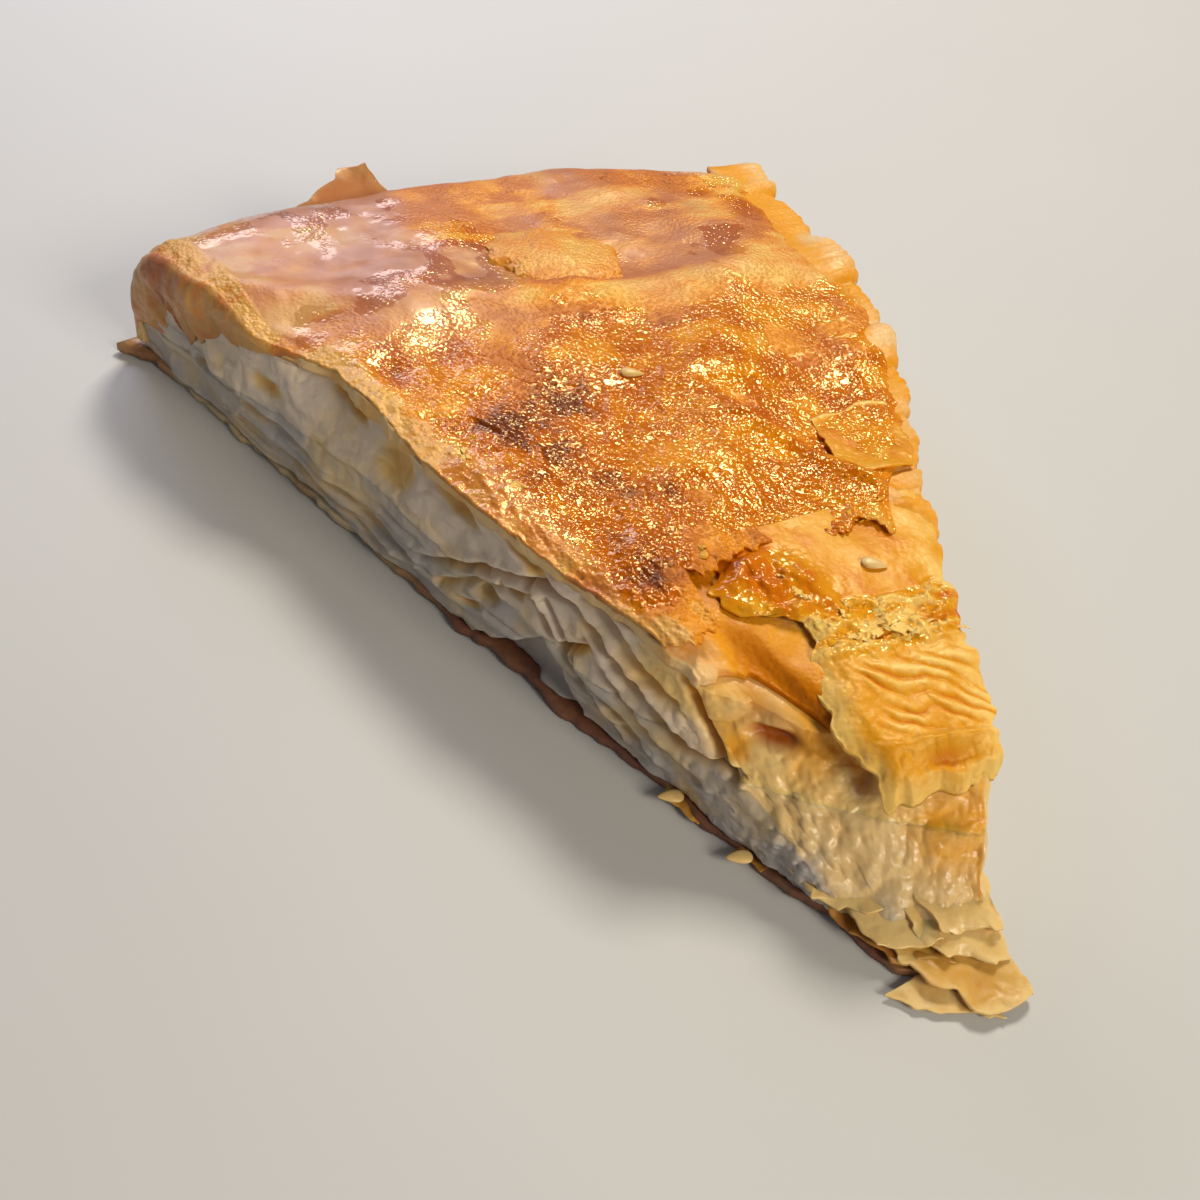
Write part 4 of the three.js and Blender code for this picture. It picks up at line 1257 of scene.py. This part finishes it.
def frontSheetPart():
    t = np.linspace(0, 1, front["rows"])[:, None]
    u = np.linspace(0, 1, front["columns"])[None, :]
    edge = np.minimum(u, 1 - u) * 22
    x, y = frontPlan(t, u, edge)
    here = (x, y, 0)
    # where each of the sheets is
    wavy = t + 0.02 * speckle(here, 4, 305)
    flap = ease(0.46, 0.53, wavy)
    band = ease(0.31, 0.36, wavy) * (1 - flap)
    smooth = 1 - np.maximum(flap, band)
    rim, _ = lineDistance(x, y, front["hoodRim"])
    hood = np.clip(1.2 * patch(x, y, front["hood"], 5.2, 0.9), 0, 1) * ease(0.45, 0.38, t)
    # the smooth sheet sags a little, the hood stands up with a curled rim, the band is crinkled like foil
    crumple = 0.9 * np.abs(speckle(here, 2.0, 306)) + 0.3 * speckle(here, 0.9, 307)
    crest = 1 - 2 * np.abs(noise(x / 4.0, y / 1.7, 0, 308))
    finer = 1 - 2 * np.abs(noise(x / 1.6, y / 0.8, 0, 309))
    curled = bell(rim, 1.6) * np.clip(0.6 + 1.2 * speckle(here, 2.6, 311), 0, 1.4)
    z = domeHeight(x, y) - 0.5 + 0.35 * clouds(here, 6, 310, 3)
    z = z + hood * (front["hoodHeight"] * crumple + 0.2) + front["rimHeight"] * curled
    z = z + band * (front["crestHeight"] * crest ** 3 + front["crinkle"] * finer + 0.1) * ease(0, 3, edge)
    # ridges of the flap run down to the right; its front end is a hollow lobe, its left edge hangs down
    across = 0.653 * x + 0.757 * y + 1.5 * speckle(here, 6, 312) + 0.5 * speckle(here, 2, 316)
    ridge = np.abs(np.sin(np.pi * across / front["ridgeWidth"])) ** 0.8
    ridge = mix(0.5, ridge, np.clip(0.75 + 0.9 * speckle(here, 3.5, 318), 0, 1))
    ridged = flap * ease(0.53, 0.6, t) * ease(0.86, 0.78, t) * ease(0.1, 0.3, u)
    crown = bell(t - 0.865, 0.022) * bell(u - 0.62, 0.36)
    hollow = bell(t - 0.925, 0.03) * bell(u - 0.6, 0.26)
    crumb = 0.22 * np.abs(speckle(here, 1.6, 313)) + 0.06 * speckle(here, 0.6, 314)
    z = z + ridged * front["ridgeHeight"] * (ridge - 0.4) + flap * crumb * (1 - 0.6 * ridged)
    z = z + front["lobeHeight"] * crown - front["lobeHollow"] * hollow
    sideDrop = 1.5 * bell(u, 0.12) + 0.7 * ease(0.75, 1, t) * (1 - u)
    z = z - front["frontDrop"] * ease(0.84, 1.0, t) ** 2 - flap * sideDrop
    z = z - 0.5 * bell(edge, 0.8) - 1.6 * ease(0.95, 1.0, t) ** 2
    # browner on the hood and at the burnt corner; the furrows, the crinkle valleys, the lobe's hollow and the
    # spot beside the hood are painted browner as shade, the crinkle crests and the hood's rim paler as
    # painted light; paler at the torn edges
    onSmooth = (0.17 + 0.2 * fbm(x / 3, y / 7, 0, 319, 2) + 0.1 * (1 - u)
                + 0.22 * patch(x, y, front["hoodShade"], 6))
    tint = (front["browning"] + 0.12 * clouds(here, 4, 315, 3) + smooth * onSmooth
            + 0.16 * hood - 0.08 * bell(rim, 0.7) + band * (0.3 * (0.45 - crest) - 0.08)
            + 0.6 * patch(x, y, front["burntCorner"], 2.6) + ridged * 0.55 * (0.6 - ridge) + flap * 0.1
            + 0.32 * hollow - 0.2 * bell(edge, 2.4) - 0.16 * bell((1 - t) * 40, 2.5))
    # sparkle: where blisters go, with their tops painted pale, partly as painted glints
    sparkle = 0.04 + 0.6 * hood + 0.9 * band + 0.15 * bell(rim, 1)
    thin = front["thickness"] * (0.45 + 0.55 * np.clip(edge / 2, 0, 1)) * mix(0.6, 1.0, flap)
    values = dict(browning=np.clip(tint, 0, 1), blistered=np.clip(sparkle, 0, 1))
    return slab(np.stack([x, y, z], -1), np.stack([x, y, z - thin], -1), values, levels=2, step=4)


# The amber sheet by the crease on the right, curled and paler along its back edge
def amberPart():
    def curledBack(u, v, x, y):
        rise = 0.5 * bell(v - 0.04, 0.05) + 0.3 * speckle((x, y, 0), 6, 317)
        return rise, -0.25 * bell(v - 0.03, 0.05) + 0 * u

    corners = [topAt(19.0, 83.0, -0.2), topAt(33.0, 83.5, -0.2), topAt(28.5, 66.5, 0.0),
               topAt(17.0, 68.5, -0.4)]
    return scrap(corners, 50, 50, 0.6, 371, ragged=0.6, wave=0.3, browning=0.5, blistered=0.1,
                 shape=curledBack, rounded=0.35)


# Bottom crust: a browned sheet, with thin ragged sheets that run out past it at the tip

bottom = dict(
    rows=300, columns=60, thickness=1.3, tipStart=7.0, cornerReach=3.0, browning=0.66,
    layers=[   # corners, browning: brown inner sheet, golden tip, right sheet, pale sheets over them
        ([(-16.0, 31.0, 2.4), (8.0, 26.0, 2.4), (5.0, 6.0, 2.0), (-8.4, 9.6, 1.9)], 0.72),
        ([(-9.8, 15.0, 2.6), (6.0, 11.0, 2.6), (5.4, -0.2, 1.6), (-1.8, -1.6, 1.5)], 0.3),
        ([(-5.6, 17.0, 5.2), (6.4, 15.0, 5.4), (5.6, 4.0, 3.0), (-3.2, 7.4, 2.9)], 0.2),
        ([(-12.6, 25.0, 4.8), (1.0, 20.0, 6.0), (-1.2, 9.0, 3.8), (-9.6, 11.0, 3.0)], 0.06),
        ([(-3.5, 18.0, 7.0), (5.6, 15.0, 7.4), (5.6, 7.4, 4.6), (-1.8, 9.6, 4.6)], 0.16),
        ([(-15.0, 30.0, 4.0), (-5.0, 25.0, 5.2), (-4.6, 14.0, 5.0), (-12.4, 17.2, 3.6)], 0.1)],
    strays=[   # corners, cells, wave, browning, seed: off the tip, then under the seeds on the left edge
        ([(-4.8, 7.4, 1.1), (0.8, -0.8, 1.0), (-8.4, 3.8, 0.7), (-10.8, 6.9, 0.8)], 40, 0.3, 0.2, 471),
        ([(-14.0, 47.0, 1.5), (-12.0, 38.0, 1.5), (-20.5, 37.5, 1.0), (-22.5, 43.0, 1.1)], 36, 0.4, 0.5, 481),
        ([(-11.0, 35.0, 1.5), (-9.0, 27.0, 1.5), (-16.5, 27.5, 0.9), (-18.5, 31.5, 1.0)], 36, 0.4, 0.55, 491),
    ])


def bottomPart():
    u = np.linspace(0, 1, bottom["columns"])[None, :]
    along = np.linspace(0, 1, bottom["rows"])[:, None]
    across = mix(-1, 1, u) + 0 * along
    start = bottom["tipStart"] + 3.0 * np.abs(across) ** 3 + 0.5 * noise(across * 6, 0, 0, 401)
    radius = mix(start, form["rimRadius"], along)
    x, y = planAt(across, radius)
    ragged = (0.7 * noise(radius / 5, across, 0, 402) + 0.4 * noise(radius / 1.7, across, 0, 403)
              + 0.4 * bell(radius - 70, 20) - 0.5 * ease(88, 105, radius))
    corner = (across < 0) * bell(radius - form["rimRadius"], 5)
    x = x + np.sign(across) * np.abs(across) ** 14 * (ragged + bottom["cornerReach"] * corner)
    lift = np.abs(across) ** 8 * (0.5 + 0.6 * noise(radius / 8, across, 5, 404))
    thick = bottom["thickness"] * (1 - 0.35 * np.abs(across) ** 10)
    top = np.stack([x, y, thick + lift + 0.12 * speckle((x, y, 0), 2, 405)], -1)
    under = np.stack([x, y, 0.5 * np.maximum(lift, 0)], -1)
    browning = (bottom["browning"] + 0.2 * clouds((x, y, 0), 9, 406, 3) - 0.25 * bell(radius, 14)
                - 0.5 * ease(88, 110, radius) * ease(166, 158, radius) - 0.3 * corner)
    return slab(top, under, dict(browning=np.clip(browning, 0, 1)), levels=3, step=6)


def bottomSheetParts():
    def curlUp(u, v, x, y):
        rise = 0.6 * bell(u, 0.1) * wobble(y, 3, 411) + 0.4 * bell(v - 1, 0.12) * wobble(x, 3, 412)
        return rise, -0.12 * bell(v - 1, 0.1) + 0 * u

    parts = []
    for k, (corners, browning) in enumerate(bottom["layers"]):
        parts.append(scrap(corners, 56, 60, 0.8, 420 + 9 * k, ragged=1.0, wave=0.45, browning=browning,
                           shape=curlUp, rounded=0.45))
    for corners, count, wave, browning, seed in bottom["strays"]:
        parts.append(scrap(corners, count, count, 0.5, seed, ragged=0.8, wave=wave, browning=browning))
    return parts


# The pointed flap on the rim, paler along its free edges
def rimFlapPart():
    def paleEdges(u, v, x, y):
        rim = np.minimum(np.minimum(u, 1 - u), 1 - v)
        return 0 * u + 0 * v, 0.25 * (1 - v) - 0.5 * bell(rim, 0.12)

    corners = [(-37.0, 162.5, 17.5), (-13.0, 166.4, 17.0), (-17.5, 171.3, 22.8), (-22.5, 171.0, 22.0)]
    flap = scrap(corners, 44, 36, 0.7, 501, ragged=0.7, wave=0.4, browning=0.3, shape=paleEdges)
    flap["values"]["glazed"] = 1.0 + 0 * flap["values"]["browning"]
    return flap


# The loose flake behind the fold, puffed up like a pad
def loosePadPart():
    def pad(u, v, x, y):
        puffed = (np.sin(np.pi * v) * np.sin(np.pi * u)) ** 0.5
        return 2.0 * puffed - 1.0, 0.2 * (1 - puffed)

    corners = [topAt(-11.5, 142.0, -0.3), topAt(12.0, 138.0, 0.1), topAt(10.0, 119.5, 0.4),
               topAt(-9.0, 122.5, -0.1)]
    loose = scrap(corners, 70, 56, 1.6, 511, ragged=1.5, wave=0.7, browning=0.2, blistered=0.08, shape=pad,
                  rounded=0.6)
    loose["values"]["glazed"] = 0.2 + 0 * loose["values"]["browning"]
    return loose


# Sesame seeds: flat drops, placed on the sheet under them, as (x, y, z), turn, tilt and browning
seeds = dict(
    length=3.6, width=1.9, thickness=0.9, rings=15, sides=20,
    spots=[(topAt(-2.2, 98.6, 0.2), -28, 0, 0.2), (topAt(9.7, 51.5, -0.1), -35, 0, 0.15),
           ((-21.9, 41.9, 1.9), 165, 5, 0.1), ((-18.2, 30.4, 1.8), 165, 5, 0.1)])


def ballFaces(rings, sides, count):
    faces = []
    last = 1 + (rings - 3) * sides
    for j in range(sides):
        k = (j + 1) % sides
        faces.append((0, 1 + j, 1 + k))
        faces.append((last + k, last + j, count - 1))
        for i in range(rings - 3):
            low, high = 1 + i * sides, 1 + (i + 1) * sides
            faces.append((low + j, high + j, high + k, low + k))
    return faces


def seedPart(place, turn, tilt, browning):
    t = np.linspace(0, np.pi, seeds["rings"])[:, None]
    a = np.linspace(0, 2 * np.pi, seeds["sides"], endpoint=False)[None, :]
    length = -np.cos(t)
    wide = np.sin(t) * (1 - 0.32 * length) * (1 - 0.12 * length)
    px = length * seeds["length"] / 2 + 0 * a
    py = wide * np.cos(a) * seeds["width"] / 2
    pz = wide * np.sin(a) * seeds["thickness"] / 2
    c, s = math.cos(math.radians(turn)), math.sin(math.radians(turn))
    ct, st = math.cos(math.radians(tilt)), math.sin(math.radians(tilt))
    px, pz = px * ct - pz * st, px * st + pz * ct
    body = np.stack([px * c - py * s, px * s + py * c, pz], -1) + np.array(place)
    verts = np.concatenate([body[0, :1], body[1:-1].reshape(-1, 3), body[-1, :1]])
    faces = ballFaces(seeds["rings"], seeds["sides"], len(verts))
    return dict(verts=verts, faces=faces, values=dict(browning=np.full(len(verts), browning)))


# Pieces

pastryPart = fillingPart(pastryFloor, pastryCeiling, True)
curdPart = fillingPart(curdFloor, curdCeiling, False)
makePiece("softPastry", pastryPart, pastryFinish, ["soft_pastry"])
makePiece("cheeseCurd", curdPart, curdFinish, ["cheese_curd"])
makePiece("bottomCrust", bottomPart(), bottomFinish, ["bottom_crust"])
makePiece("bottomSheets", joined(bottomSheetParts()), tipFinish)
makePiece("goldenSheets", sheetsPart(), sheetFinish, ["top_crust"])
makePiece("brownedSkin", skinPart(), skinFinish)
edgeParts = [edgeStripPart(k, strip) for k, strip in enumerate(edgeStrips["strips"])]
makePiece("edgeSheets", joined(edgeParts + [lobesPart()]), sheetFinish)
makePiece("frontSheets", joined([frontSheetPart(), amberPart()]), frontFinish)
makePiece("crustFlakes", joined(flakeParts()), frontFinish)
makePiece("loosePad", loosePadPart(), skinFinish)
makePiece("rimFlap", rimFlapPart(), skinFinish)
makePiece("sesameSeeds", joined([seedPart(*spot) for spot in seeds["spots"]]), tipFinish)


# Camera at the photograph's viewing angle, its place in mm from the torn tip
view = dict(place=(-95.459, -50.004, 147.695), yaw=-32.334, pitch=44.028, roll=9.108, lens=43.17,
            sensor=36, nearest=0.01)


def makeCamera():
    yaw, pitch, roll = (math.radians(view[k]) for k in ("yaw", "pitch", "roll"))
    forward = Vector((-math.sin(yaw) * math.cos(pitch), math.cos(yaw) * math.cos(pitch), -math.sin(pitch)))
    right = Vector((math.cos(yaw), math.sin(yaw), 0))
    up = right.cross(forward)
    turnedRight = math.cos(roll) * right + math.sin(roll) * up
    turnedUp = -math.sin(roll) * right + math.cos(roll) * up
    data = bpy.data.cameras.new("sliceCamera")
    data.sensor_width = view["sensor"]
    data.lens = view["lens"]
    data.clip_start = view["nearest"]
    camera = bpy.data.objects.new("sliceCamera", data)
    x, y, z = view["place"]
    spot = Vector((x, y - form["tipToOrigin"], z)) * mm
    turn = Matrix((turnedRight, turnedUp, -forward)).transposed().to_4x4()
    camera.matrix_world = Matrix.Translation(spot) @ turn
    bpy.context.collection.objects.link(camera)
    bpy.context.scene.camera = camera


# Floor, sky and lamps, in metres; a lamp is its place, aim, size, power and colour
studio = dict(
    floorSize=3.0, floorDrop=0.0001, floorTones=("#B9B8B5", "#C2C1BE"), floorRoughness=0.6,
    skyColor=(0.88, 0.92, 1.0, 1.0), skyStrength=0.115,
    lamps=dict(
        keyWindow=((0.44, 0.49, 0.85), (0, 0, 0.01), (0.25, 0.25), 8.8, (1.0, 0.94, 0.82)),
        frontWarm=((0.22, -0.84, 0.58), (0, -0.03, 0.01), (0.4, 0.35), 7.5, (1.0, 0.92, 0.78)),
        backSky=((0.01, 0.40, 0.23), (-0.03, 0.06, 0.02), (0.22, 0.12), 0.6, (0.74, 0.76, 1.0)),
        leftFill=((-0.9, -0.2, 0.5), (0, 0, 0.01), (0.8, 0.8), 0.5, (0.86, 0.91, 1.0))))


def makeLamp(name, place, aim, size, power, color):
    data = bpy.data.lights.new(name, "AREA")
    data.shape = "RECTANGLE"
    data.size, data.size_y = size
    data.energy = power
    data.color = color
    lamp = bpy.data.objects.new(name, data)
    lamp.location = place
    lamp.rotation_euler = (Vector(aim) - Vector(place)).to_track_quat("-Z", "Y").to_euler()
    bpy.context.collection.objects.link(lamp)


def makeFloor():
    size = studio["floorSize"]
    mesh = bpy.data.meshes.new("floor")
    corners = [(-size, -size, 0), (size, -size, 0), (size, size, 0), (-size, size, 0)]
    mesh.from_pydata(corners, [], [(0, 1, 2, 3)])
    material, tree, shader = newMaterial("paleFloor")
    grain = useGroup(tree, pastryGrain, -500, 0, Fine_Scale=60.0, Broad_Scale=4.0).outputs
    tones = [tone(text) for text in studio["floorTones"]]
    tree.links.new(mixColor(tree, -200, 100, grain["Broad"], *tones), shader.inputs["Base Color"])
    shader.inputs["Roughness"].default_value = studio["floorRoughness"]
    mesh.materials.append(material)
    floor = bpy.data.objects.new("floor", mesh)
    floor.location.z = -studio["floorDrop"]
    bpy.context.collection.objects.link(floor)


def makeLight():
    world = bpy.data.worlds.new("studio")
    world.use_nodes = True
    sky = world.node_tree.nodes["Background"]
    sky.inputs["Color"].default_value = studio["skyColor"]
    sky.inputs["Strength"].default_value = studio["skyStrength"]
    bpy.context.scene.world = world
    for name, lamp in studio["lamps"].items():
        makeLamp(name, *lamp)
    bpy.context.scene.view_settings.view_transform = "Standard"
    bpy.context.scene.view_settings.look = "None"


makeCamera()
makeFloor()
makeLight()
print("camera and stage set")
